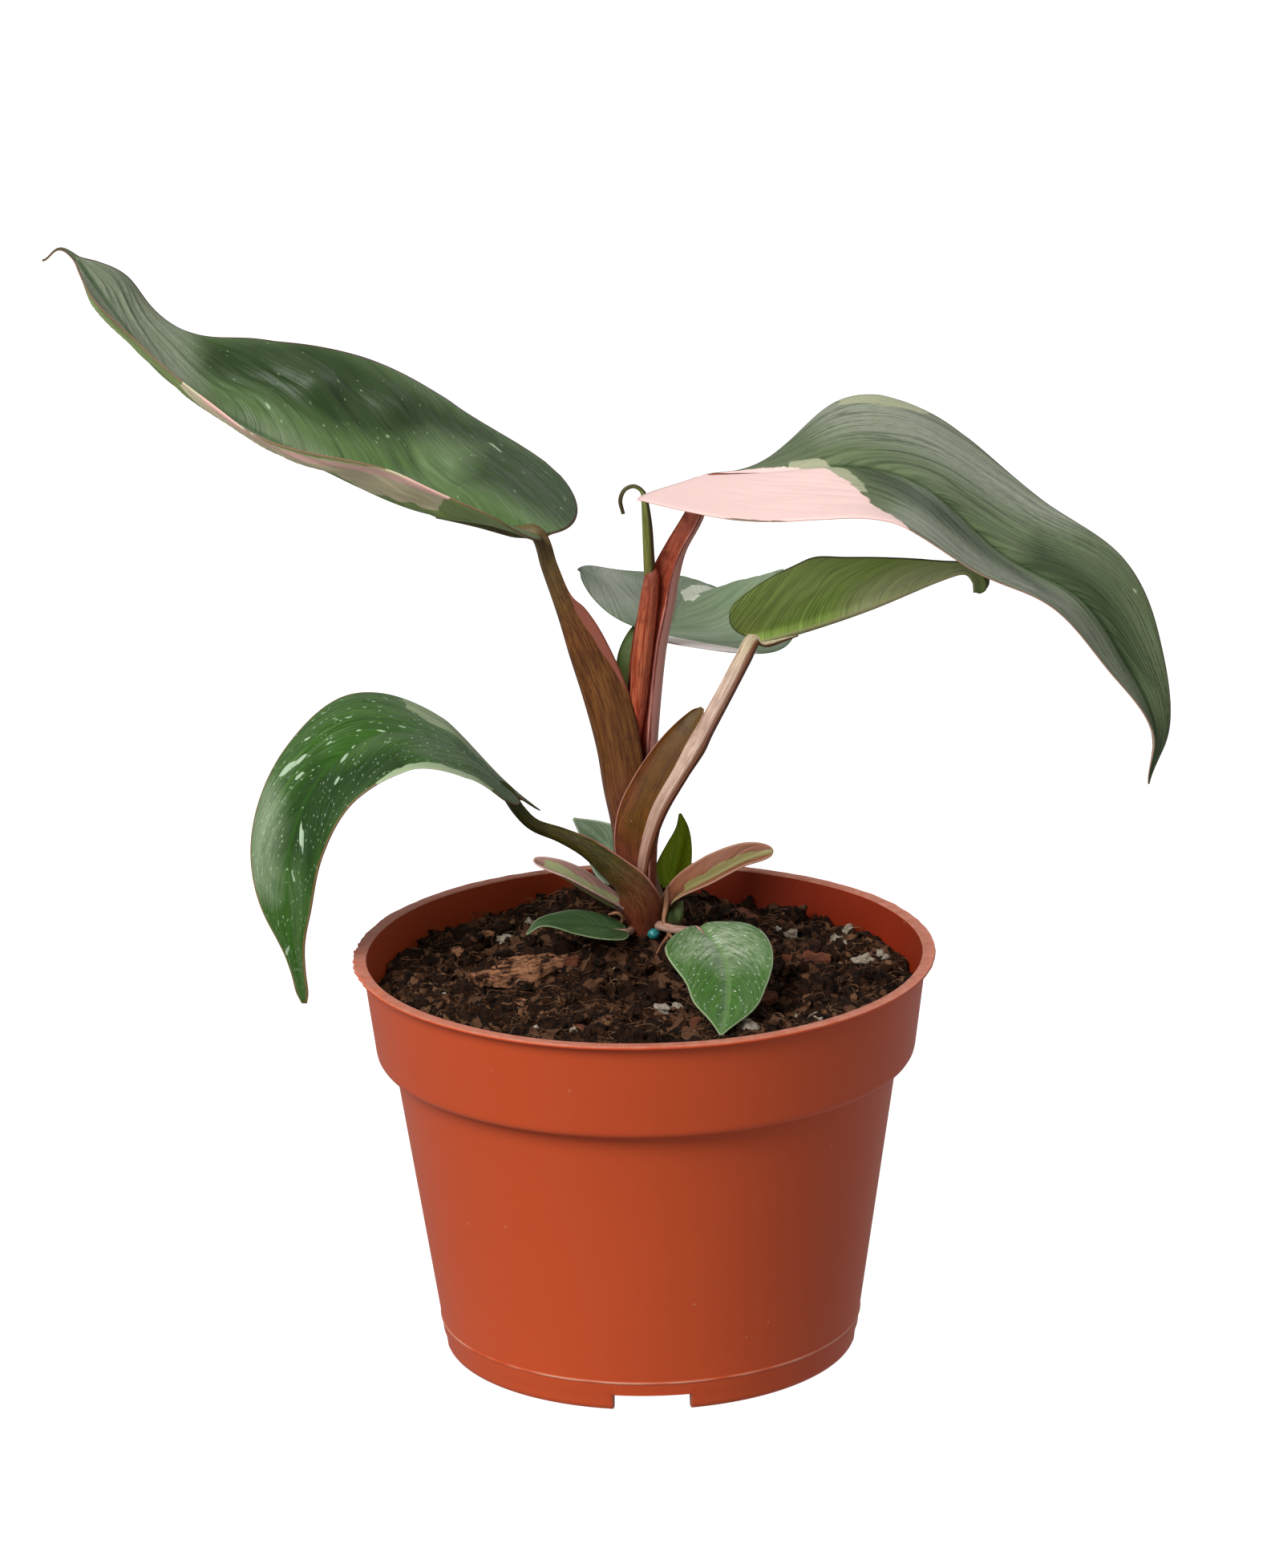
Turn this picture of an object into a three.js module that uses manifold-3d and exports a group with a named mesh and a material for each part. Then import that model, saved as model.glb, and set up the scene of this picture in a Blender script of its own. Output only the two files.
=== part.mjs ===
// A pink princess philodendron, a climbing aroid with half-pink leaves, in its moulded nursery pot.
// Millimetres, +Z up. The pot stands on z = 0, and the origin is on that plane under the middle of
// the plant's spread. Inside the plant group, x = y = 0 is the pot's own axis.
import * as THREE from "three";
import { mergeVertices } from "three/addons/utils/BufferGeometryUtils.js";
import Module from "manifold-3d";

const wasm = await Module();
wasm.setup();

// ---------------------------------------------------------------- driving dimensions

const GAP = 0.3; // clearance between neighbouring pieces
const POT_AXIS = [6, -26.5]; // where the pot's axis stands, so that the origin is under the whole spread

const POT = {
  height: 75.5,
  lipRadius: 54,
  lipDepth: 2.4, // height of the flat lip's edge
  mouthRadius: 51, // inner edge of the lip
  bandTop: 51.7, // outer radius of the rim band under the lip
  bandFoot: 50, // and at its lower edge
  bandHeight: 18.5, // from the top of the pot to the band's lower edge
  shoulder: 47, // outer radius of the body under the band
  foot: 38.6, // outer radius of the body at the foot
  wall: 1.3,
  floor: 3.4, // underside of the floor above the ground
  footWidth: 2, // width of the ring that the pot stands on
  notches: 4,
  notchWidth: 14.5,
  notchHeight: 3,
  holes: 5, // drain holes round the floor
  holeRadius: 3.2,
  holeCircle: 24,
  segments: 72,
};

const SOIL = {
  level: 69, // height of the mix at the wall
  mound: 13, // extra height at the plant
  moundAt: [-5, 22],
  moundSpread: 19,
  hollow: 4.5, // depth of the hollow in front of the plant
  hollowAt: [0.5, -1],
  hollowSpread: 6.5,
  segments: 54,
  rings: 12,
  crumbs: 36,
  seed: 20240611,
};

const PLANT = [0, 19]; // the stem's place over the pot's floor
const STEM = { radius: 4.6, tip: 2.6, root: 60, top: 85.5, sides: 12 };

const BLADE = {
  thickness: 0.7,
  margin: 0.25, // half width left at the very tip
  across: [-1, -0.82, -0.6, -0.38, -0.16, 0, 0.16, 0.38, 0.6, 0.82, 1],
  rows: 18,
};
const STALK = { sides: 12, stations: 14 };

// Perlite grains that lie on the mix: x, y, radius.
const PERLITE = [
  [-25.5, 16.5, 1.6],
  [-21.5, 23, 1.2],
  [28, 25.5, 1.3],
  [36.5, 22.5, 1.9],
  [41, 10.5, 1.5],
  [44.5, 14, 1.5],
  [38.5, 27, 1.2],
  [31, -20, 1.5],
  [18.5, -26, 1.8],
  [3, -17, 1.2],
  [6, -13, 1.1],
];

// ---------------------------------------------------------------- colours

const COLOURS = {
  terracotta: 0xb84f31,
  mix: 0x3b271b,
  bark: 0xa97a52,
  prill: 0x1f7f80,
  deepGreen: 0x3f6b3c,
  greyGreen: 0x5f7263,
  midGreen: 0x57813b,
  paleGreen: 0x7f9a7e,
  limeGreen: 0x5f8f1e,
  russet: 0x7a4c38,
  red: 0x96402b,
  olive: 0x7a6440,
  rosyBrown: 0x8d6350,
};

function material(colour, roughness = 0.5) {
  return new THREE.MeshStandardMaterial({ color: colour, roughness, metalness: 0 });
}

// ---------------------------------------------------------------- solids, joins and cuts

function solid(geometry) {
  const bare = geometry.clone();
  bare.deleteAttribute("normal");
  bare.deleteAttribute("uv");
  const merged = mergeVertices(bare, 1e-4);
  return new wasm.Manifold(
    new wasm.Mesh({
      numProp: 3,
      vertProperties: new Float32Array(merged.attributes.position.array),
      triVerts: new Uint32Array(merged.index.array),
    }),
  );
}

function largest(shape) {
  const bodies = shape.decompose();
  return bodies.reduce((best, body) => (body.volume() > best.volume() ? body : best));
}

function without(shape, cutters) {
  return largest(cutters.reduce((left, cutter) => left.subtract(cutter), shape));
}

function geometryOf(shape) {
  const mesh = shape.getMesh();
  const geometry = new THREE.BufferGeometry();
  geometry.setAttribute("position", new THREE.BufferAttribute(mesh.vertProperties, 3));
  geometry.setIndex(new THREE.BufferAttribute(mesh.triVerts, 1));
  geometry.computeVertexNormals();
  return geometry;
}

// ---------------------------------------------------------------- curves

function spline(points) {
  const knots = points.map(([x, y, z]) => new THREE.Vector3(x, y, z));
  return new THREE.CatmullRomCurve3(knots, false, "catmullrom", 0.5);
}

// A smooth run through evenly spaced values, read at t from 0 to 1.
function ramp(values, t) {
  const knots = values.map((value, i) => new THREE.Vector2(i, value));
  return new THREE.SplineCurve(knots).getPoint(t).y;
}

// ---------------------------------------------------------------- leaf blades

// Half width of a heart-shaped, long-pointed blade, as a share of its widest half.
function outline(t) {
  return Math.sin(Math.PI * (0.05 + 0.95 * t) ** 0.6);
}

// The blade's surface: across runs from -1 at the left margin to 1 at the right, along from 0 at the
// base to 1 at the tip. Each half folds up from the midrib, curls on towards its margin and may wave;
// towards the tip the fold runs out with the width.
function bladeSurface(leaf) {
  const rib = spline(leaf.midrib);
  const length = rib.getLength();
  const heading = rib.getPoint(1).sub(rib.getPoint(0));
  if (leaf.heading !== undefined) {
    const turn = THREE.MathUtils.degToRad(leaf.heading);
    heading.set(Math.cos(turn), Math.sin(turn), 0);
  }
  const level = heading.cross(new THREE.Vector3(0, 0, 1)).normalize();
  const [waveHeight, waveCount, wavePhase] = leaf.wave ?? [0, 0, 0];

  return (across, along) => {
    const t = THREE.MathUtils.clamp(along, 0, 1);
    const tangent = rib.getTangentAt(t);
    const side = level.clone().addScaledVector(tangent, -level.dot(tangent)).normalize();
    const up = side.clone().cross(tangent);
    const roll = THREE.MathUtils.degToRad(ramp(leaf.roll, t));
    side.applyAxisAngle(tangent, -roll);
    up.applyAxisAngle(tangent, -roll);

    const s = Math.abs(across);
    const hand = across < 0 ? 0 : 1;
    const body = Math.min(1, t / (1 - (leaf.tail ?? 0)));
    const width = leaf.half[hand] * outline(body) + BLADE.margin;
    const reach = width * across;
    const fold = ramp(leaf.fold[hand], t) + (ramp(leaf.curl[hand], t) * s) / 2;
    const angle = THREE.MathUtils.degToRad(fold) * Math.min(1, width / 3);
    const rise = Math.sin(angle) * Math.abs(reach);
    const lobe = leaf.lobe[hand] * length * Math.sin((Math.PI / 2) * Math.min(s, 1)) ** 0.8;
    const back = lobe * Math.max(0, 1 - t / 0.3) ** 2 + (t - along) * length;
    const phase = waveCount * t + (across < 0 ? -wavePhase : wavePhase);
    const wave = waveHeight * s * s * Math.sin(2 * Math.PI * phase) * Math.sin(Math.PI * t);
    return rib
      .getPointAt(t)
      .addScaledVector(side, Math.cos(angle) * reach)
      .addScaledVector(up, rise + wave)
      .addScaledVector(tangent, -back);
  };
}

// A closed sheet on a grid of points, split into triangles alike on both faces. depthAt gives how far
// the upper and the lower face stand off the middle surface.
function sheet(points, depthAt) {
  const rows = points.length;
  const columns = points[0].length;
  const position = [];
  for (const face of [1, -1]) {
    for (let j = 0; j < rows; j++) {
      for (let i = 0; i < columns; i++) {
        const sideways = points[j][Math.min(i + 1, columns - 1)].clone().sub(points[j][Math.max(i - 1, 0)]);
        const onward = points[Math.min(j + 1, rows - 1)][i].clone().sub(points[Math.max(j - 1, 0)][i]);
        const normal = sideways.cross(onward).normalize();
        const corner = points[j][i].clone().addScaledVector(normal, face * depthAt(i, j, face));
        position.push(corner.x, corner.y, corner.z);
      }
    }
  }
  const under = rows * columns;
  const index = [];
  for (let j = 0; j < rows - 1; j++) {
    for (let i = 0; i < columns - 1; i++) {
      const a = j * columns + i;
      const b = a + 1;
      const c = b + columns;
      const d = a + columns;
      index.push(a, b, c, a, c, d);
      index.push(under + a, under + c, under + b, under + a, under + d, under + c);
    }
  }
  const edge = [];
  for (let i = 0; i < columns; i++) edge.push(i);
  for (let j = 1; j < rows; j++) edge.push(j * columns + columns - 1);
  for (let i = columns - 2; i >= 0; i--) edge.push((rows - 1) * columns + i);
  for (let j = rows - 2; j > 0; j--) edge.push(j * columns);
  edge.forEach((a, n) => {
    const b = edge[(n + 1) % edge.length];
    index.push(a, under + a, under + b, a, under + b, b);
  });
  const geometry = new THREE.BufferGeometry();
  geometry.setAttribute("position", new THREE.Float32BufferAttribute(position, 3));
  geometry.setIndex(index);
  return geometry;
}

// The blade's solid, or with grow above zero the room that it takes up with that clearance round it.
function blade(leaf, grow = 0) {
  const surface = bladeSurface(leaf);
  const length = spline(leaf.midrib).getLength();
  const columns = leaf.columns ?? BLADE.across;
  const rows = leaf.rows ?? BLADE.rows;
  const wider = 1 + grow / Math.max(...leaf.half);
  const points = [];
  for (let j = 0; j <= rows; j++) {
    const along = (j / rows) * (1 + (2 * grow) / length) - grow / length;
    points.push(columns.map((across) => surface(across * wider, along)));
  }
  const ribDepth = leaf.ribDepth ?? 1.2;
  const depthAt = (i, j, face) => {
    const nearRib = Math.max(0, 1 - Math.abs(columns[i]) / 0.3);
    const rib = face < 0 ? ribDepth * nearRib * (1 - j / rows) : 0;
    return BLADE.thickness / 2 + rib + grow;
  };
  return solid(sheet(points, depthAt));
}

// ---------------------------------------------------------------- stalks and sheaths

// A stalk is a loft of channelled sections along its route. Each station is
// [x, y, z, half width, back depth, rim height, channel floor]; face is the way the channel opens.
// The room of a stalk takes in its channel.
function stalk({ face, stations }, grow = 0) {
  const route = spline(stations);
  const open = new THREE.Vector3(...face);
  const value = (column, t) => ramp(stations.map((station) => station[column]), t);
  const tube = new THREE.CylinderGeometry(1, 1, 1, STALK.sides, STALK.stations);
  const corner = new THREE.Vector3();
  const place = tube.getAttribute("position");
  for (let n = 0; n < place.count; n++) {
    corner.fromBufferAttribute(place, n);
    const t = corner.y + 0.5;
    const tangent = route.getTangent(t);
    const out = open.clone().addScaledVector(tangent, -open.dot(tangent)).normalize();
    const side = out.clone().cross(tangent);
    const [width, back, rim, bed] = [3, 4, 5, 6].map((column) => value(column, t) + grow);
    const floor = grow > 0 ? Math.max(rim, bed) : bed;
    let across = 0;
    let outward = (floor - back) / 2;
    if (Math.hypot(corner.x, corner.z) > 0.5) {
      const angle = Math.atan2(-corner.z, corner.x);
      [across, outward] = channel(angle, width, back, rim, floor);
    }
    const end = corner.y > 0.499 ? grow : corner.y < -0.499 ? -grow : 0;
    const middle = route.getPoint(t).addScaledVector(tangent, end);
    middle.addScaledVector(side, across).addScaledVector(out, outward);
    place.setXYZ(n, middle.x, middle.y, middle.z);
  }
  return solid(tube);
}

// The outline of a channelled section: the rounded back below zero, the channel between two rims above.
function channel(angle, width, back, rim, floor) {
  const across = Math.cos(angle);
  if (Math.sin(angle) < 0.01) return [across * width, Math.sin(angle) * back];
  const rimward = Math.min(1, Math.abs(across) / 0.85) ** 1.5;
  return [Math.sign(across) * Math.min(0.9, 1.04 * Math.abs(across)) * width, floor + (rim - floor) * rimward];
}

// The station of a plain round stalk.
function roundAt(x, y, z, radius) {
  return [x, y, z, radius, radius, radius / 2, radius];
}

// ---------------------------------------------------------------- pot

function pot() {
  const bandFloor = POT.height - POT.bandHeight;
  const lipFloor = POT.height - POT.lipDepth;
  const round = 1.2; // radius of the rounded edges
  const outside = [
    [POT.foot - POT.footWidth, 0],
    [POT.foot - 0.7, 0],
    [POT.foot, 1],
    [POT.shoulder, bandFloor],
    [POT.bandFoot - round, bandFloor],
    [POT.bandFoot - 0.35 * round, bandFloor + 0.35 * round],
    [POT.bandFoot, bandFloor + round],
    [POT.bandTop, lipFloor],
    [POT.lipRadius - 0.5, lipFloor],
    [POT.lipRadius, lipFloor + 0.6],
    [POT.lipRadius, POT.height - 0.6],
    [POT.lipRadius - 0.6, POT.height],
  ];
  const inside = [
    [POT.mouthRadius + 0.5, POT.height],
    [POT.mouthRadius, POT.height - 0.6],
    [POT.bandFoot - POT.wall, bandFloor + POT.wall],
    [POT.shoulder - POT.wall, bandFloor],
    [POT.foot - POT.wall + 0.4, POT.floor + POT.wall],
    [0, POT.floor + POT.wall],
    [0, POT.floor],
    [POT.foot - POT.footWidth, POT.floor],
    [POT.foot - POT.footWidth, 0],
  ];
  const profile = [...outside, ...inside].map(([r, z]) => new THREE.Vector2(r, z));
  const shell = new THREE.LatheGeometry(profile, POT.segments).rotateX(Math.PI / 2);
  let body = solid(shell);
  for (let n = 0; n < POT.notches; n++) {
    const notch = new THREE.BoxGeometry(POT.notchWidth, 2 * POT.footWidth + 3, 2 * POT.notchHeight);
    notch.translate(0, -(POT.foot - POT.footWidth / 2), 0);
    notch.rotateZ((n / POT.notches) * 2 * Math.PI);
    body = body.subtract(solid(notch));
  }
  for (let n = 0; n < POT.holes; n++) {
    const hole = new THREE.CylinderGeometry(POT.holeRadius, POT.holeRadius, 4 * POT.wall, 16);
    hole.rotateX(Math.PI / 2);
    hole.translate(POT.holeCircle, 0, POT.floor + POT.wall / 2);
    hole.rotateZ(((n + 0.25) / POT.holes) * 2 * Math.PI);
    body = body.subtract(solid(hole));
  }
  return body;
}

// ---------------------------------------------------------------- potting mix

// A small repeatable random source, so that every build lays the same crumbs.
function randomSource(seed) {
  let state = seed >>> 0;
  return () => {
    state = (Math.imul(state, 1664525) + 1013904223) >>> 0;
    return state / 4294967296;
  };
}

function soilHeight(x, y) {
  const toPlant = Math.hypot(x - SOIL.moundAt[0], y - SOIL.moundAt[1]) / SOIL.moundSpread;
  const toHollow = Math.hypot(x - SOIL.hollowAt[0], y - SOIL.hollowAt[1]) / SOIL.hollowSpread;
  const lumps =
    0.7 * Math.sin(0.41 * x + 1.3) * Math.sin(0.37 * y + 0.4) +
    0.45 * Math.sin(0.83 * x - 0.6 * y) +
    0.3 * Math.sin(1.25 * y + 0.9 * x + 2);
  const mound = SOIL.mound * Math.exp(-toPlant * toPlant);
  const hollow = SOIL.hollow * Math.exp(-toHollow * toHollow);
  return SOIL.level + mound - hollow + lumps;
}

function soil() {
  const floor = POT.floor + POT.wall + GAP;
  const bandFloor = POT.height - POT.bandHeight;
  const clear = POT.wall + GAP + 0.2;
  const reach = POT.mouthRadius - 1.4;
  const side = [
    [0, floor],
    [POT.foot - clear, floor],
    [POT.shoulder - clear, bandFloor],
    [POT.bandFoot - clear, bandFloor + POT.wall + GAP],
    [reach, SOIL.level],
  ];
  const top = [];
  for (let n = SOIL.rings - 1; n >= 0; n--) top.push([reach * (n / SOIL.rings), SOIL.level + 1]);
  const profile = [...side, ...top].map(([r, z]) => new THREE.Vector2(r, z));
  const heap = new THREE.LatheGeometry(profile, SOIL.segments).rotateX(Math.PI / 2);
  const place = heap.getAttribute("position");
  for (let n = 0; n < place.count; n++) {
    if (place.getZ(n) > SOIL.level - 0.5) place.setZ(n, soilHeight(place.getX(n), place.getY(n)));
  }
  return solid(heap).add(crumbs(reach - 4));
}

// Crumbs of the mix and grains of perlite, sunk into the surface by about half.
function crumbs(spread) {
  const random = randomSource(SOIL.seed);
  const grains = PERLITE.map(([x, y, r]) => grain(x, y, r, r, 0));
  for (let n = 0; n < SOIL.crumbs; n++) {
    const turn = random() * 2 * Math.PI;
    const radius = 1 + 1.7 * random();
    const reach = spread * Math.sqrt(random());
    const tall = radius * (0.5 + 0.4 * random());
    grains.push(grain(Math.cos(turn) * reach, Math.sin(turn) * reach, radius, tall, 3 * turn));
  }
  return wasm.Manifold.union(grains);
}

function grain(x, y, radius, tall, turn) {
  const lump = new THREE.IcosahedronGeometry(1, 0);
  lump.rotateZ(turn).rotateX(turn).scale(radius, radius, tall);
  lump.translate(x, y, soilHeight(x, y) + 0.2 * tall);
  return solid(lump);
}

// ---------------------------------------------------------------- loose things on the mix

const BARK = { at: [-23.5, 1.5], size: [19.5, 9, 2.6], turn: 0.3 };

function barkChip(grow = 0) {
  const chip = new THREE.BoxGeometry(...BARK.size, 8, 3, 1);
  const [long, wide, thick] = BARK.size;
  const place = chip.getAttribute("position");
  for (let n = 0; n < place.count; n++) {
    const x = place.getX(n);
    const y = place.getY(n);
    const taper = 1 - 0.45 * (x / (long / 2)) ** 4;
    const edge = Math.abs(y) > wide / 2 - 0.1 ? 0.6 * Math.sin(1.9 * x + 0.8) : 0;
    place.setXYZ(n, x, y * taper + edge, place.getZ(n) + 0.5 * Math.sin(0.5 * x + 0.6 * y));
  }
  chip.scale(1 + (2 * grow) / long, 1 + (2 * grow) / wide, 1 + (2 * grow) / thick);
  chip.rotateY(-0.12).rotateZ(BARK.turn);
  chip.translate(...BARK.at, soilHeight(...BARK.at) + 1.1);
  return solid(chip);
}

const PRILL = { at: [1.6, 8.8], radius: 1.6 };

function prill(grow = 0) {
  const ball = new THREE.IcosahedronGeometry(PRILL.radius + grow, 2);
  ball.translate(...PRILL.at, soilHeight(...PRILL.at) - 0.1);
  return solid(ball);
}

// ---------------------------------------------------------------- stem

function stem(grow = 0) {
  const { radius, tip, root, top } = STEM;
  const profile = [
    [0, root - grow],
    [radius * 0.6 + grow, root - grow],
    [radius + grow, root + 10],
    [radius * 1.08 + grow, top - 9],
    [radius * 0.92 + grow, top - 6],
    [tip + grow, top + grow],
    [0, top + grow],
  ].map(([r, z]) => new THREE.Vector2(r, z));
  const post = new THREE.LatheGeometry(profile, STEM.sides).rotateX(Math.PI / 2);
  post.translate(...PLANT, 0);
  return solid(post);
}

// ---------------------------------------------------------------- the leaves, by their place on the plant

// Each midrib point is a place in space; half, fold, curl and lobe list the left side, then the right
// (left and right as seen from the stalk, looking towards the tip); angles are in degrees.
const LARGE_LEAVES = {
  left: {
    colour: COLOURS.deepGreen,
    midrib: [[-19, 25, 149.5], [-26.5, 27, 153.5], [-43, 29, 155.5], [-59.5, 31, 163], [-75, 33, 171.5],
      [-88.5, 34, 181], [-103, 35, 202], [-109.5, 35, 201.5]],
    tail: 0.07,
    half: [27.5, 26.5],
    fold: [[4, 7, 2, 18, -12], [13, 32, 38, 14, 22]],
    curl: [[28, 36, 17], [-1, -2, 3]],
    roll: [1, 3, 17],
    lobe: [0.02, 0.04],
  },
  right: {
    colour: COLOURS.greyGreen,
    midrib: [[12, 19, 163.5], [24, 16, 163.5], [41, 12, 165], [53, 9, 161.5], [67, 5, 149.5], [81, 1, 141.5],
      [89.5, -3, 131], [93, -7, 120], [92.5, -11, 109.5]],
    half: [22.8, 25.8],
    fold: [[-22, 17, 9, 24, 32, 17], [-7, -5, 8, 13, 6, 10]],
    curl: [[-5, -7, -11], [-1, 1, 2]],
    roll: [-3, -5, -7],
    lobe: [0.03, 0.06],
  },
  middle: {
    colour: COLOURS.midGreen,
    midrib: [[21, 23, 129.5], [32, 19, 133], [44, 15, 138.5], [54.5, 12, 143], [60.5, 10, 144], [62.5, 9, 141]],
    tail: 0.06,
    half: [13, 13.5],
    fold: [[48, 49, 52], [49, 50, 50]],
    curl: [[0, 0, 0], [0, 0, 0]],
    roll: [0, 0],
    lobe: [0.08, 0.08],
    rows: 14,
  },
  back: {
    colour: COLOURS.paleGreen,
    midrib: [[0.5, 39, 127], [6.5, 53, 125], [10, 69, 124], [17, 87, 120.5], [20, 107, 113]],
    half: [21, 22],
    fold: [[8, 6, 1, 5, 5], [3, 12, 42, 34, 12]],
    curl: [[2, -2, 0], [3, -1, 0]],
    roll: [-14, -15, -10],
    lobe: [0.12, 0.14],
    rows: 15,
  },
  low: {
    colour: COLOURS.deepGreen,
    midrib: [[-25, 11, 104], [-36, 9, 114], [-48, 6, 117.5], [-58.5, 2, 110.5], [-64.5, -2, 100],
      [-65.5, -5, 87.5], [-63, -7, 70]],
    half: [18.5, 16.5],
    fold: [[-7, -4, 2, 1, -2], [6, 11, 7, 14, 20]],
    curl: [[-5, -3, -4], [-3, -2, 1]],
    roll: [2, 1, 18],
    lobe: [0.08, 0.08],
  },
};

// The stalks of the large leaves and the rolled new leaf, from the stem outwards, the innermost first.
const STALKS = {
  petiole_right: {
    colour: COLOURS.red,
    face: [-0.6, -0.8, 0.2],
    stations: [
      [-0.5, 24, 81, 2.8, 2.4, 1.6, 0.2],
      [0, 24.5, 91, 3, 2.6, 2, 0.2],
      [0, 25, 103.5, 3.1, 2.7, 2.2, 0.2],
      [0.5, 25, 113, 3.2, 2.8, 2.4, 0.2],
      [2, 24, 127.5, 3.3, 2.8, 2.4, 0],
      [4, 23, 137, 3.2, 2.6, 2.2, 0],
      [5, 22, 142.5, 2.8, 2.3, 1.9, 0.2],
      [7.5, 21, 148, 1.9, 1.6, 1.3, 0.5],
      [11, 20, 154.5, 1.3, 1.2, 1, 0.5],
      [13.5, 19, 162, 1.2, 1.1, 0.9, 0.5],
    ],
  },
  new_leaf: {
    colour: COLOURS.olive,
    face: [0, -1, 0],
    stations: [
      roundAt(3.2, 21.5, 141, 1),
      roundAt(2.5, 20, 146.5, 1),
      roundAt(2, 19, 152.5, 1),
      roundAt(1.5, 18.5, 157.5, 0.65),
      roundAt(1, 18.5, 159.3, 0.45),
      roundAt(-0.5, 18.5, 160.2, 0.4),
      roundAt(-2.2, 18.5, 159.5, 0.4),
      roundAt(-3, 18.5, 157.5, 0.4),
      roundAt(-2.5, 18.5, 155, 0.35),
    ],
  },
  petiole_left: {
    colour: COLOURS.russet,
    face: [1, -0.3, 0.3],
    stations: [
      [-1, 20, 80, 3.2, 3, 3, 1],
      [-1.5, 20.5, 86, 3.6, 3.6, 3.4, 0.5],
      [-2, 21, 94, 3.6, 3.8, 3.6, 0],
      [-3.5, 21.5, 101.5, 3.4, 3.7, 3.8, -0.3],
      [-4.5, 22, 109.5, 3.2, 3.9, 3.9, -0.5],
      [-6.5, 23, 118.5, 3, 4.1, 4.1, -0.5],
      [-10, 23.5, 128, 2.4, 3.4, 3.8, -0.6],
      [-14, 24, 136, 1.9, 2, 2, 0.3],
      [-16.5, 24.5, 143, 1.6, 1.5, 1.4, 0.8],
      [-18.5, 25, 149.5, 1.4, 1.3, 1.2, 0.7],
    ],
  },
  petiole_middle: {
    colour: COLOURS.olive,
    face: [-0.5, -0.75, 0.4],
    stations: [
      [-0.5, 15, 84, 3.2, 2.6, 1.8, 0.2],
      [-1, 15, 89.5, 3.9, 3, 2.2, 0.2],
      [-1, 15, 93.5, 4.3, 3.1, 2.4, 0.2],
      [0, 15.5, 98, 4.5, 3.1, 2.6, 0.2],
      [2.5, 16, 103, 4.4, 3, 2.6, 0.2],
      [6, 16.5, 108.5, 4, 2.8, 2.4, 0.2],
      [11.5, 17.5, 115, 2.6, 2.2, 1.8, 0.2],
      [16.5, 18.5, 120.5, 1.5, 1.4, 1.2, 0.5],
      [20, 20, 125.5, 1.3, 1.3, 1.1, 0.6],
      [22, 22.5, 130, 1.3, 1.2, 1, 0.6],
    ],
  },
  petiole_low: {
    colour: COLOURS.olive,
    face: [0.5, 0.5, 0.75],
    stations: [
      [0, 12, 76, 3, 2.6, 1.4, 0.2],
      [-0.5, 10.5, 82, 4.2, 3.6, 1.8, 0.2],
      [-2, 10, 86, 3.9, 3.2, 1.8, 0.2],
      [-5.5, 10, 89.5, 3, 2.8, 1.6, 0.2],
      [-10, 10.5, 93, 2.2, 2.1, 1.3, 0.3],
      [-15, 11, 95.5, 1.6, 1.6, 1, 0.4],
      [-20, 11, 97.5, 1.3, 1.3, 0.9, 0.5],
      [-23, 11, 100.5, 1.3, 1.2, 0.9, 0.5],
      [-25.5, 11, 104.5, 1.3, 1.2, 0.9, 0.5],
    ],
  },
  petiole_back: {
    colour: COLOURS.olive,
    face: [0, -0.7, 0.7],
    stations: [
      [0, 24.5, 79, 2.4, 2.2, 1.2, 0.2],
      [0, 28, 87, 2.2, 2, 1.3, 0.2],
      [-0.5, 29, 96, 2, 1.9, 1.3, 0.2],
      [-1.5, 31, 106.5, 1.8, 1.8, 1.3, 0.2],
      [-2.5, 33, 115.5, 1.6, 1.6, 1.2, 0.3],
      [-3, 35, 121, 1.4, 1.4, 1, 0.5],
      [-2, 37, 124.5, 1.3, 1.2, 0.9, 0.5],
      [0.5, 39.5, 127, 1.3, 1.2, 0.9, 0.5],
    ],
  },
};

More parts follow.
